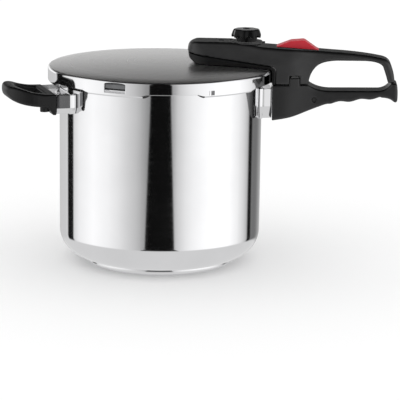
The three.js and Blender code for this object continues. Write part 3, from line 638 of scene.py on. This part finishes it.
def make_lid():
    """The lid's outer skin as rows down one profile, thickened inward; cut-outs between the lugs."""
    top = lid_top_line()
    roll = LID_R - CREST_R
    shoulder = arc(CREST_R, CREST - RIM_DROP - roll, roll, ROLL_START, 0, 10)
    skirt = [(LID_R, CREST - RIM_DROP - roll), (LID_R, HEM + LUG_STEP)]
    fall = shoulder + skirt[1:]
    hook = [(LID_R, HEM + LUG_STEP), (LID_R, HEM + 1.6)]
    hook += arc(LID_R - 1.6, HEM + 1.6, 1.6, 0, -90, 5)[1:]
    hook += [(118.5, HEM + 0.9), (LUG_INNER_R, HEM + 1.7)]
    half = math.degrees(math.asin(WINDOW_HALF / LID_R))
    fan = np.concatenate([np.linspace(-half, half, 33), [-half - 0.25, half + 0.25]]) + WINDOW_AZIMUTH
    ends = [c + side * (GAP_HALF + LUG_END * share) for c in gap_azimuths for side in (-1, 1)
            for share in (0.12, 0.3, 0.5, 0.7, 0.87, 1.0)]
    cols = stepped_columns(gap_azimuths, GAP_HALF, extra=np.concatenate([fan, ends]))
    cols = np.array([c for c in cols if off_azimuth(c, WINDOW_AZIMUTH) > half + 0.2
                     or min(off_azimuth(c, f) for f in fan) < 1e-6])
    full = run_along(fall)[-1]

    def down(z):
        """Length along the fall at which the profile reaches the height z."""
        return np.interp(-z, [-height for _, height in fall], run_along(fall))

    upper = 16
    verts = []
    n_top = len(top)
    for r, z in top:
        verts += [round_axis(r, a, z) for a in cols]
    arch = []
    for a in cols:
        off = off_azimuth(a, WINDOW_AZIMUTH)
        share = min(off / half, 1.0)
        arch.append(down(WINDOW_SPRING + WINDOW_HALF * WINDOW_RISE * math.sqrt(max(0.0, 1 - share ** 2))))
    for j in range(1, upper + 1):
        for a, b in zip(cols, arch):
            r, z = polyline_at(fall, b * j / upper)
            verts.append(round_axis(r, a, z))
    for s in (full - WINDOW_SILL, full):
        for a in cols:
            r, z = polyline_at(fall, s)
            verts.append(round_axis(r, a, z))
    hem_r, hem_z = hook[0]
    for r, z in hook[1:]:
        for a in cols:
            inside = min(off_azimuth(a, c) for c in gap_azimuths) - GAP_HALF
            share = min(max(inside / LUG_END, 0.02), 1.0)
            share = math.sin(share * math.pi / 2)
            verts.append(round_axis(hem_r + (r - hem_r) * share, a, hem_z + (z - hem_z) * share))
    rows = n_top + upper + 2 + len(hook) - 1
    window_row = n_top + upper - 1
    skirt_end = n_top + upper + 1

    def keep(j, i):
        a = (cols[i] + ((cols[(i + 1) % len(cols)] - cols[i]) % 360) / 2) % 360
        if j >= skirt_end and in_sector(a, gap_azimuths, GAP_HALF):
            return False
        if j < n_top - 1:
            around = math.radians(max(0.0, off_azimuth(a, 0) - 1.0))
            for hole_x in (VALVE_X, PIN_X):
                nearest = min(max(hole_x, top[j][0]), top[j + 1][0])
                if math.hypot(hole_x - nearest, hole_x * around) < FITTING_HOLE:
                    return False
        return not (j == window_row and off_azimuth(a, WINDOW_AZIMUTH) < half)

    finishes = [satin, polished, dark_pin_and_shade_steel]
    lid = add_mesh("lid_skin", verts, grid_faces(rows, len(cols), keep), finishes, "lid")
    for poly in lid.data.polygons:
        centre = poly.center
        row = min(v // len(cols) for v in poly.vertices)
        azimuth = math.degrees(math.atan2(centre.y, centre.x))
        inside = min(off_azimuth(azimuth, c) for c in gap_azimuths) - GAP_HALF
        # the hem's faces close to the cut-outs are painted dark steel: painted shade
        if row > skirt_end and inside < 0.9 * LUG_END:
            poly.material_index = 2
        elif math.hypot(centre.x, centre.y) / MM > LID_R - 1.0 or row > skirt_end:
            poly.material_index = 1
    weld(lid)
    thick = lid.modifiers.new("sheet", "SOLIDIFY")
    thick.thickness = (LID_SHEET - 0.1) * MM
    thick.offset = -1
    sharpen(lid, 40)
    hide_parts("lid_shell")


make_lid()


def make_hem_end(index, centre, side):
    """The raw rolled edge where a lug's hem climbs into the cut-out beside it, in dark steel as painted
    shade.
    """
    verts = []
    steps, sides = 12, 8
    for i in range(steps + 1):
        share = i / steps
        azimuth = centre + side * (GAP_HALF + LUG_END * (share - 0.12))
        z = HEM + 0.5 + (LUG_STEP - 0.7) * (1 - math.sin(share * math.pi / 2))
        r = HEM_BEAD * (0.35 + 0.65 * math.sin(share * math.pi / 2))
        for k in range(sides):
            turn = 2 * math.pi * k / sides
            out = LID_R - 0.75 + r * math.cos(turn)
            verts.append(round_axis(out, azimuth, z + r * math.sin(turn)))
    faces = grid_faces(steps + 1, sides)
    faces += [list(range(sides)), [steps * sides + k for k in reversed(range(sides))]]
    add_mesh(f"hem_end_{index}", verts, faces, dark_pin_and_shade_steel, "lid")


for count, gap in enumerate(gap_azimuths):
    for count_side, which in enumerate((-1, 1)):
        make_hem_end(2 * count + count_side + 1, gap, which)


# ---- ferrules: polished sleeves with a wider strip against the pot ----

def sleeve_section(half, low, high, knee, lean, corner, steps=5):
    """Closed [y, z] loop: upright sides that lean in below the knee, with round corners."""
    corners = [(-half, knee), (-half, high), (half, high), (half, knee)]
    corners += [(half - lean, low), (lean - half, low)]
    radii = [8.0, corner, corner, 8.0, corner, corner]
    loop = []
    for i, (point, radius) in enumerate(zip(corners, radii)):
        here = np.array(point)
        back = np.array(corners[i - 1]) - here
        ahead = np.array(corners[(i + 1) % len(corners)]) - here
        back, ahead = back / np.linalg.norm(back), ahead / np.linalg.norm(ahead)
        bend = math.acos(np.clip(back @ ahead, -1, 1))
        reach = radius / math.tan(bend / 2)
        for t in np.linspace(0, 1, steps + 1):
            a, b = here + back * reach, here + ahead * reach
            loop.append((1 - t) ** 2 * a + 2 * t * (1 - t) * here + t * t * b)
    return np.array(loop)


SLEEVE_CORNER = 1.6
SHADED_END = -6.0  # the panel's material, painted shade on the side ferrule, also covers the top beyond this, toward the handle's far side


def make_ferrule(name, node, size, strip_x, end_x, strip_taper, panel_taper, panel, turn=0.0):
    """A sleeve from the pot's wall to the grip; strip and panel draw in sideways by their tapers."""
    half, low, high, knee, lean = size
    outer = sleeve_section(half, low, high, knee, lean, SLEEVE_CORNER)
    sides = list(zip(outer, np.roll(outer, -1, axis=0)))
    steps = [max(1, math.ceil(np.linalg.norm(b - a) / 2.0)) for a, b in sides]
    count = sum(steps)
    clear = POT_R + 0.5
    verts = []

    def row(inset, x=None, narrow=0.0):
        """One loop of the sleeve: hugging the wall, or at a distance from the pot's axis."""
        corner = max(SLEEVE_CORNER - inset, 0.4)
        loop = sleeve_section(half - inset - narrow, low + inset, high - inset, knee, lean, corner)
        for a, b, n in zip(loop, np.roll(loop, -1, axis=0), steps):
            for k in range(n):
                y, z = a + (b - a) * k / n
                start = math.sqrt(clear ** 2 - y * y)
                verts.append((start if x is None else max(x, start + 0.2), y, z))

    row(0.15)
    row(0.0, math.sqrt(clear ** 2 - half ** 2) + 0.4)
    row(0.0, strip_x - 0.3, strip_taper)
    row(0.25, strip_x, strip_taper)
    first = len(verts) // count - 1
    row(0.7, strip_x + 0.05, 0.5 * strip_taper)
    for share in np.linspace(0, 1, 5):
        reach = strip_x + 0.1 + (end_x - 0.4 - strip_x) * share
        row(0.7, reach, 0.5 * strip_taper + panel_taper * share)
    last = len(verts) // count
    row(0.9, end_x, panel_taper)
    row(1.6, end_x, panel_taper)
    row(1.7, strip_x)
    row(1.7)
    total = len(verts) // count
    faces = grid_faces(total, count)
    last_row = (total - 1) * count
    faces += [(i, (i + 1) % count, last_row + (i + 1) % count, last_row + i) for i in range(count)]
    ferrule = add_mesh(name, spun(verts, turn), faces, [polished, panel], "pot")
    for poly in ferrule.data.polygons:
        ring = [v // count for v in poly.vertices]
        upright = all(abs(verts[v][1]) > half - 5 and verts[v][2] > knee for v in poly.vertices)
        shaded = all(verts[v][1] < SHADED_END and verts[v][2] > high - 0.8 for v in poly.vertices)
        # faces of the panel, and of the top beyond SHADED_END, take the panel's material: painted shade on
        # the side ferrule
        poly.material_index = int(min(ring) >= first and max(ring) <= last and upright) or int(shaded)
    weld(ferrule)
    sharpen(ferrule, 35)
    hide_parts(node)


make_ferrule("long_ferrule", "long_handle_ferrule", (24.0, 162.6, 196.7, 176.5, 3.0),
             112.4, 122.2, 0.94, 2.8, polished)
# the side ferrule's panel is painted dark steel as painted shade
make_ferrule("side_ferrule", "side_handle_ferrule", (36.0, 172.4, 194.4, 179.0, 2.2),
             112.3, 126.6, 0.0, 0.8, panel_painted_shade_steel, SIDE_AZIMUTH)


# ---- bakelite pieces ----

def blend(value, start, end, low, high):
    """Eases from low to high as the value goes from start to end."""
    t = np.clip((value - start) / (end - start), 0, 1)
    return low + (high - low) * t * t * (3 - 2 * t)


def cut(body, *tools):
    for tool in tools:
        body = np.maximum(body, -tool)
    return body


def flank_plan(root_x, tip_x, inset, nose=None):
    """Plan of the long grips: wide head, slimmer grip, rounded tip; a round nose if asked for."""
    head, grip = HEAD_HALF - inset, GRIP_HALF - inset
    tip = tip_x - inset
    edge = curve((124, head), [(150, head), (154, grip), (188, grip)], [(tip - 5, grip)],
                 [(tip, grip), (tip, grip - 5)])
    if nose is None:
        front = [(root_x, head)]
    else:
        turns = np.linspace(math.pi, math.pi / 2, 33)
        front = [(nose + head * math.cos(a), head * math.sin(a)) for a in turns]
    half = front + edge
    return half + [(x, -y) for x, y in reversed(half)]


def top_at(x):
    return 240.4 + SLOPE * (x - 112)


NOSE_X = 28.9 + HEAD_HALF
COVER_TIP = 256.6
STEP = 1.0
TAB_R = 147.8  # distance of the pot handle's curved tab from the pot's axis
NOTCH_END = 19.0  # the notch is open only toward the side the pot handle's tab swings out of

COVER_TOP = curve((28, 238), [(29.6, 245), (42, 245)], [(76, 245)], [(96, 243.4), (112, 240.4)],
                  [(190, top_at(190))], [(220, 234.6), (241, 230.4)], [(247.4, 228.8), (249.8, 224.6)],
                  [(254.6, 214), (256.2, 203.9)])
COVER_UNDER = curve((0, 237.1), [(122.4, 220.4)], [(126.2, 217)], [(126.2, SEAM + SEAM_GAP)],
                    [(161.6, SEAM + SEAM_GAP)], [(162.4, 214), (171, 221.2)],
                    [(178, 226.6), (196, 226.9)], [(222, 227.1)],
                    [(238, 226.8), (241.8, 221.4)], [(245, 213), (247.6, 203.9)], [(300, 203.9)])


def make_cover():
    field = Field((28, -25, 199), (258, 25, 247), STEP)
    x, y, z = field.xyz
    under_top = field.side([(0, 100), (0, 231), (26.4, 231)] + COVER_TOP + [(256.4, 100)])
    above = field.side(COVER_UNDER + [(300, 300), (0, 300)])
    plan = field.plan(flank_plan(0, COVER_TIP, 0, NOSE_X))
    wall = field.section([(-24, 150), (24, 150), (24, 224), (20, 239), (18.6, 247), (18, 260),
                          (-18, 260), (-18.6, 247), (-20, 239), (-24, 224)])
    body = rounded(3.0, plan, wall)
    body = rounded(blend(x, 120, 190, 3.2, 4.5), body, under_top)
    body = rounded(blend(x, 158, 172, 0.8, 3.0), body, above)
    space = field.side([(32, 226), (32, 238), (38, 242.2), (76, 242.2), (96, 240), (112, 237.6),
                        (158.5, top_at(158.5) - 2.8), (158.5, 213), (122, 213), (122, 190), (60, 190)])
    inner_plan = field.plan(flank_plan(0, COVER_TIP, 2.8, NOSE_X))
    inner_wall = field.section([(-21.2, 150), (21.2, 150), (21.2, 224), (17.2, 239), (15.6, 247),
                                (-15.6, 247), (-17.2, 239), (-21.2, 224)])
    hollow = np.maximum(np.maximum(space, inner_plan), inner_wall)
    channel = np.abs(np.hypot(x, y) - TAB_R) - 5.6
    notch = np.maximum(channel, field.box(130, 160, -40, NOTCH_END, 150, 210.4))
    body = cut(body, hollow, notch, field.box(146.2, 156.6, -5, 5, 202.4, 214),
               field.box(135.5, 148.4, -3.4, 3.4, 230, 260),
               field.post(VALVE_X, 0, 12.4, 236, 270), field.post(VALVE_X, 0, 17.8, 242.6, 270),
               field.post(PIN_X, 0, 2.6, 236, 270), field.post(SCREW_X, 0, 2.4, 190, 215),
               field.post(SCREW_X, 0, 4.2, 190, 204))
    body = np.minimum(body, field.box(125.8, 128, 6, 20, 201.2, 216))
    cover = field.mesh(body, "handle_cover", cover_bakelite_lit_copy, "lid", "bakelite")
    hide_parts("lid_handle_cover")


def lid_envelope(clearance):
    """Outline of the space that the lid fills, with a clearance over it."""
    roll = LID_R - CREST_R
    dome = [(r, z + clearance) for r, z in lid_top_line()[:-1]]
    shoulder = arc(CREST_R, CREST - roll, roll + clearance, 86, 0, 8)
    return dome + shoulder + [(LID_R + clearance, 120), (0, 120)]


def make_under_shell():
    field = Field((28, -25, 199), (127, 25, 234), STEP)
    outline = [(29.6, 232.3), (122.2, 219.7), (126.0, 216.6), (126.0, SEAM + GAP), (116, SEAM + GAP),
               (72, 206), (50, 214), (38, 221.6), (31, 226.6)]
    space = [(36, 240), (121.6, 240), (121.6, 214), (72, 210), (56, 221), (43, 226.6), (38, 229)]
    plan = field.plan(flank_plan(0, COVER_TIP, 0.6, NOSE_X))
    body = rounded(0.8, plan, field.side(outline))
    body = np.maximum(body, -field.turned(lid_envelope(0.45)))
    inside = np.maximum(field.side(space), field.plan(flank_plan(0, COVER_TIP, 3.2, NOSE_X)))
    inside = np.maximum(inside, -field.turned(lid_envelope(2.4)))
    body = cut(body, inside, field.post(VALVE_X, 0, 10.6, 190, 250), field.post(PIN_X, 0, 5.7, 190, 250),
               field.post(SAFETY_X, 0, 6.8, 190, 250), field.box(55.4, 58.8, -11.6, 11.6, 190, 250),
               field.box(109.2, 112.6, -11.6, 11.6, 190, 250))
    x, y, z = field.xyz
    groove = 232.3 - 0.1385 * (x - 29.6)
    near, far = (field.plan(flank_plan(0, COVER_TIP, inset, NOSE_X)) for inset in (3.3, 5.3))
    lip = np.maximum(near, -far)
    lip = np.maximum(np.maximum(lip, np.abs(z - groove) - 2.4), x - 121)
    body = np.minimum(body, lip)
    shell = field.mesh(body, "handle_under_shell", shell_bakelite_shaded_copy, "lid", "bakelite")
    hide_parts("lid_handle_base")


def make_long_grip():
    field = Field((122, -25, 160), (260, 25, 209), STEP)
    x, y, z = field.xyz
    waves = [(v, 180 + (v - 186) * 7.2 / 54 + 0.9 * math.sin(2 * math.pi * (v - 190) / 23))
             for v in np.linspace(186, 240, 40)]
    root = [(100, 157), (122.7, 161), (144, 165), (164, 172.4), (180, 178.4), (186, 179.2)]
    under = smooth_line(root, 8)
    under += waves
    tip = curve((240, 187.2), [(249, 187.4), (253, 184.2)], [(256.5, 181.2), (259, 182.2)], [(300, 190)])
    under += tip[1:]
    over = curve((100, SEAM - GAP), [(161.5, SEAM - GAP)], [(171, 193.8), (184, 193.6)], [(237, 194.6)],
                 [(246, 194.9), (251.5, 203.3)], [(255.6, 203.3)], [(257.6, 203.3), (258.2, 201)],
                 [(260.6, 191), (259, 182.2)], [(258.6, 100)])
    above = field.side(under + [(300, 300), (100, 300)])
    below = field.side(over + [(100, 100)])
    plan = field.plan(flank_plan(100, 259.6, 0))
    body = rounded(3.0, plan, above)
    body = rounded(blend(x, 156, 170, 0.8, 2.6), body, below)
    body = rounded(0.5, body, 122.7 - x)
    tab = np.maximum(np.abs(np.hypot(x, y) - TAB_R) - 5.3, np.abs(z - 201) - 6.9)
    tab = np.maximum(np.maximum(tab, plan), y - (NOTCH_END - 0.6))
    body = cut(np.minimum(body, tab), field.box(146.4, 160, -5, 5, 202.4, 215),
               field.box(120, 179, -8.4, 8.4, 180, 187.8))
    bore = np.hypot(x - 168.1, z - 183.9) - 2.6
    grip = field.mesh(cut(body, bore), "long_grip", bakelite, "pot", "bakelite")
    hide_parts("long_handle_grip")


def loop_plan(x0, half, straight, tip):
    shoulder = tip - (tip - straight) * 0.22
    side = curve((x0, -half), [(straight, -half)], [(shoulder, -half), (tip, -half * 0.5), (tip, 0)])
    return side + [(x, -y) for x, y in reversed(side[:-1])]


def make_side_grip():
    field = Field((126, -37, 171), (178, 37, 203), 0.8)
    x = field.xyz[0]
    outline = curve((100, 172.4), [(130.5, 172.4)], [(134, 177.6), (137, 180.8)],
                    [(158, 182.2), (167, 185.6)], [(177.2, 189.2), (177.4, 196.4)],
                    [(177.2, 201.9), (171, 201.8)], [(165, 201.6), (157, 198.6)],
                    [(145, 194.2), (127, 194.4)], [(100, 194.4)])
    outer = field.plan(loop_plan(100, 36, 143, 177))
    inner = field.plan(loop_plan(136.5, 24, 145, 164))
    body = rounded(blend(x, 130, 142, 1.6, 3.2), outer, field.side(outline))
    body = rounded(2.4, body, -inner)
    body = rounded(0.5, body, 127 - x)
    for y in (-28, 28):
        body = np.minimum(body, field.post(138.4, y, 4.8, 175.6, 186))
        body = cut(body, field.box(120, 147.5, y - 5.9, y + 5.9, 184, 188),
                   field.post(138.4, y, 3.6, 160, 177.6), field.post(138.4, y, 2.4, 160, 192))
    grip = field.mesh(body, "side_grip", side_bakelite_shaded_copy, "pot", "bakelite", turn=SIDE_AZIMUTH)
    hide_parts("side_handle_grip")


# ---- selector knob and lock slider ----

KNOB_TOP = 258.1


def make_knob():
    """A crown-shaped cap whose lobes hang below its rim, on a narrower neck."""
    field = Field((VALVE_X - 17.5, -17.5, 238), (VALVE_X + 17.5, 17.5, 259), 0.5)
    x, y, z = field.xyz
    radius = np.hypot(x - VALVE_X, y)
    wave = np.cos(KNOB_LOBES * np.arctan2(y, x - VALVE_X))
    flare = np.clip((KNOB_TOP - z) / 6.5, 0, 1)
    reach = 13.4 + 2.3 * flare ** 0.7 - (0.35 + 0.45 * flare) * wave
    rim = 250.3 + 1.2 * wave
    cap = rounded(1.3, radius - reach, z - KNOB_TOP)
    cap = rounded(0.6, cap, rim - z)
    neck = np.maximum(radius - 11.7, np.maximum(239.4 - z, z - 252))
    dish = np.hypot(radius, z - 264.4) - 7.6
    body = cut(joined(0.8, cap, neck), field.post(VALVE_X, 0, 4.2, 200, 251.4), dish)
    knob = field.mesh(body, "knob", knob_bakelite, "selector", "bakelite", 60)
    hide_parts("selector_knob")


def make_slider():
    field = Field((125, -9, 229), (173, 9, 248), 0.45)
    x, y, z = field.xyz
    outline = [(125.6, top_at(125.6) + 0.35), (126.6, top_at(126.6) + 1.2), (141.6, 246.6), (155, 247.8),
               (157, 247.2), (169.6, top_at(169.6) + 1.4), (172.4, top_at(172.4) + 0.35)]
    body = rounded(0.7, field.side(outline), np.abs(y) - 8.6)
    groove = np.hypot((x - 142) % 1.7 - 0.85, z - (246.5 + (x - 142) * 0.09)) - 0.32
    ridges = np.maximum(groove, np.maximum(142 - x, x - 155))
    body = cut(body, np.maximum(ridges, np.abs(y) - 7.4))
    body = np.minimum(body, field.box(142, 148, -3, 3, 230.3, 243))
    body = cut(body, field.post(145, 0, 1.7, 220, 237))
    slider = field.mesh(body, "slider", red, "lock", "red_plastic", 40)
    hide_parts("lock_slider")


make_cover()
make_under_shell()
make_long_grip()
make_side_grip()
make_knob()
make_slider()


# ---- alignment mark on the lid's skirt ----

MARK_AZIMUTH = -59.9
MARK_HEIGHTS = (202.5, 207.3)
MARK_BARS = ((-1.8, 0.08), (-0.62, 0.25), (0.0, 0.25), (0.62, 0.25))  # offset and half width, in degrees


def make_mark():
    """Three short etched bars and a thinner one beside them."""
    verts, faces = [], []
    for offset, wide in MARK_BARS:
        for radius in (LID_R - 0.2, LID_R + 0.03):
            for z in MARK_HEIGHTS:
                for side in (-wide, wide):
                    verts.append(round_axis(radius, MARK_AZIMUTH + offset + side, z))
        k = len(verts) - 8
        faces += [tuple(k + i for i in f) for f in
                  ((0, 1, 3, 2), (4, 5, 7, 6), (0, 1, 5, 4), (2, 3, 7, 6), (0, 2, 6, 4), (1, 3, 7, 5))]
    mark = add_mesh("lid_mark", verts, faces, knob_bakelite, "lid", smooth=False)
    weld(mark)


make_mark()


# ---- floor, light and camera ----

FLOOR_SIZE = 6.0  # metres from the middle to a side
FLOOR_DROP = 0.2


def stage_floor():
    mesh = bpy.data.meshes.new("floor")
    size = FLOOR_SIZE
    corners = [(-size, -size, 0), (size, -size, 0), (size, size, 0), (-size, size, 0)]
    mesh.from_pydata(corners, [], [(0, 1, 2, 3)])
    floor = bpy.data.objects.new("floor", mesh)
    floor.location.z = -FLOOR_DROP * MM
    bpy.context.scene.collection.objects.link(floor)
    mat, _, _, shader = new_material("floor_paper", (0.96, 0.96, 0.96), 0.0, 0.9)
    shader.inputs["Specular IOR Level"].default_value = 0.0
    mesh.materials.append(mat)
    floor.visible_glossy = False


def value_ramp(nodes, links, value, stops):
    """Brightness by position; every stop is (position, brightness)."""
    node = nodes.new("ShaderNodeValToRGB")
    ramp = node.color_ramp
    while len(ramp.elements) > 1:
        ramp.elements.remove(ramp.elements[-1])
    ramp.elements[0].position = stops[0][0]
    ramp.elements[0].color = (stops[0][1],) * 3 + (1,)
    for position, level in stops[1:]:
        element = ramp.elements.new(position)
        element.color = (level,) * 3 + (1,)
    links.new(value, node.inputs["Fac"])
    return node.outputs["Color"]


CAMERA_AZIMUTH = -86.0
# Brightness round the room at the horizon: degrees from the camera's side, positive to its right.
ROOM = [
    (-180, 0.62), (-150, 0.74), (-131.5, 0.80), (-130, 0.01), (-118, 0.01), (-116, 0.62), (-105, 0.80),
    (-82, 0.93), (-61, 0.85), (-49, 0.75), (-38, 0.62), (-27, 0.50), (-20, 0.38), (-14, 0.27), (14, 0.36),
    (19, 0.55), (29, 0.74), (37, 0.84), (48, 0.93), (60, 1.0), (84, 1.0), (100, 0.82), (112, 0.60),
    (119, 0.42), (121.5, 0.01), (127.5, 0.01), (130, 0.20), (144, 0.22), (153, 0.36), (170, 0.60),
    (180, 0.60),
]
FRONT_HEIGHT = [(-90, 0.75), (-40, 0.9), (-20, 1.0), (46, 1.0), (58, 0.06), (90, 0.03)]
BACK_HEIGHT = [(-90, 0.8), (-25, 0.7), (-8, 0.7), (0, 1.25), (5, 1.25), (9, 1.05), (12, 0.80), (15, 0.47),
               (18, 0.18), (21, 0.05), (26, 0.02), (90, 0.02)]

ROOM_STRENGTH = 1.28
PLAIN_STRENGTH = 1.08
BACK_BLEND = (116, 136)  # degrees from the camera's side over which the back's heights take over
GAP_LEAST = 10.6  # degrees to each side that the gap between the front lights has at least
GAP_SPREAD = 1.2  # degrees that it grows by to each side for each degree lower
FLOOR_SHINE = 0.58
FLOOR_HORIZON = -17.5  # degrees below which reflections show the floor


def studio_world():
    """Plain white light, and a room of bright and dark panels that only reflections show."""
    world = bpy.data.worlds.new("studio")
    bpy.context.scene.world = world
    world.use_nodes = True
    world.cycles.sampling_method = "NONE"
    nodes, links = world.node_tree.nodes, world.node_tree.links
    nodes.clear()

    def calc(*rest):
        return math_node(nodes, links, *rest)

    def position(value, low, high, clamp=False):
        """Takes the range from low to high to the range from 0 to 1."""
        return calc("DIVIDE", calc("SUBTRACT", value, low), high - low, clamp)

    coord = nodes.new("ShaderNodeTexCoord")
    turn = nodes.new("ShaderNodeVectorRotate")
    turn.rotation_type = "Z_AXIS"
    turn.inputs["Angle"].default_value = math.radians(-CAMERA_AZIMUTH)
    links.new(coord.outputs["Generated"], turn.inputs["Vector"])
    split = nodes.new("ShaderNodeSeparateXYZ")
    links.new(turn.outputs["Vector"], split.inputs["Vector"])
    around = calc("ARCTAN2", split.outputs["Y"], split.outputs["X"])
    around = calc("MULTIPLY", around, 180 / math.pi)
    height = calc("MULTIPLY", calc("ARCSINE", split.outputs["Z"]), 180 / math.pi)
    room = value_ramp(nodes, links, position(around, -180, 180), [((a + 180) / 360, v) for a, v in ROOM])
    high = position(height, -90, 90)
    front = value_ramp(nodes, links, high, [((e + 90) / 180, v) for e, v in FRONT_HEIGHT])
    back = value_ramp(nodes, links, high, [((e + 90) / 180, v) for e, v in BACK_HEIGHT])
    away = calc("ABSOLUTE", around)
    by_height = colour_mix(nodes, links, position(away, *BACK_BLEND, True), front, back)
    level = colour_mix(nodes, links, 1.0, room, by_height, "MULTIPLY")
    # a dark gap between the two front lights, 11.9 to each side at a height of -11
    gap = calc("MULTIPLY", calc("ADD", height, 11), -GAP_SPREAD)
    gap = calc("MAXIMUM", calc("ADD", gap, 11.9), GAP_LEAST)
    edge = calc("DIVIDE", calc("SUBTRACT", away, gap), 1.2, True)
    edge = calc("MAXIMUM", edge, 0.012)
    lit = colour_mix(nodes, links, 1.0, level, edge, "MULTIPLY")
    below = calc("DIVIDE", calc("SUBTRACT", FLOOR_HORIZON, height), 3.0, True)
    ground = colour_mix(nodes, links, below, lit, (FLOOR_SHINE,) * 3 + (1,))
    shine = nodes.new("ShaderNodeBackground")
    shine.inputs["Strength"].default_value = ROOM_STRENGTH
    links.new(ground, shine.inputs["Color"])
    plain = nodes.new("ShaderNodeBackground")
    plain.inputs["Color"].default_value = (1, 1, 1, 1)
    plain.inputs["Strength"].default_value = PLAIN_STRENGTH
    path = nodes.new("ShaderNodeLightPath")
    choose = nodes.new("ShaderNodeMixShader")
    links.new(path.outputs["Is Glossy Ray"], choose.inputs["Fac"])
    links.new(plain.outputs["Background"], choose.inputs[1])
    links.new(shine.outputs["Background"], choose.inputs[2])
    output = nodes.new("ShaderNodeOutputWorld")
    links.new(choose.outputs["Shader"], output.inputs["Surface"])


LENS = 174.24  # millimetres, for a picture 36 mm wide


def photo_camera():
    """A distant view toward the pot's axis, pitched down and rolled a little."""
    distance, height, yaw, pitch, roll = 2.1, 0.551, 0.0213, 0.2275, 0.014
    turn = math.radians(CAMERA_AZIMUTH + 90)
    level = math.cos(pitch)
    forward = Vector((math.sin(yaw) * level, math.cos(yaw) * level, -math.sin(pitch)))
    right = Vector((math.cos(yaw), -math.sin(yaw), 0))
    up = right.cross(forward)
    side = math.cos(roll) * right + math.sin(roll) * up
    top = -math.sin(roll) * right + math.cos(roll) * up
    spin = Matrix.Rotation(turn, 3, "Z")
    rotation = (spin @ Matrix((side, top, -forward)).transposed()).to_4x4()
    place = spin @ Vector((0, -distance, height))
    data = bpy.data.cameras.new("camera")
    data.sensor_width = 36.0
    data.lens = LENS
    camera = bpy.data.objects.new("camera", data)
    camera.matrix_world = Matrix.Translation(place) @ rotation
    bpy.context.scene.collection.objects.link(camera)
    bpy.context.scene.camera = camera


stage_floor()
studio_world()
photo_camera()
bpy.context.scene.view_settings.view_transform = "Standard"

EDGE = 0.3  # width of the bevel on edges of the CAD pieces
FINISH = (
    (aluminium, ("base_core",)),
    (fittings, ("long_handle_bracket", "side_handle_bracket", "side_handle_screw_1", "side_handle_screw_2",
                "lid_bracket", "bracket_screw", "valve_nut", "pin_nut", "pressure_pin", "safety_nut",
                "lock_bolt", "slider_screw")),
    (dark_pin_and_shade_steel, ("long_handle_pin",)),
    (wire_steel, ("trivet", "basket_bail", "valve_spring")),
    (inner_steel, ("basket",)),
    (silicone, ("lid_gasket", "valve_seal", "pin_seal")),
    (brass, ("valve_body", "valve_plunger", "selector_stem", "pin_housing", "safety_plug")),
    (cover_bakelite_lit_copy, ("valve_collar",)),
)
for material, pieces in FINISH:
    for node in pieces:
        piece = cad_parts[node]
        piece.data.materials.clear()
        piece.data.materials.append(material)
        if not piece.hide_render:
            bevel(piece, EDGE)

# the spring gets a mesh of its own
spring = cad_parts["valve_spring"]
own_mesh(spring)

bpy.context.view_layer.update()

# Reflections leave out the upper handle and its fittings, so that the satin lid shows only the
# image of the under-shell close to it.
for hidden in ("handle_cover", "knob", "slider"):
    bpy.data.objects[hidden].visible_glossy = False
for node in ("valve_body", "valve_plunger", "valve_spring", "valve_collar", "selector_stem", "pin_housing",
             "pressure_pin", "safety_plug", "lid_bracket", "bracket_screw", "slider_screw"):
    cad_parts[node].visible_glossy = False
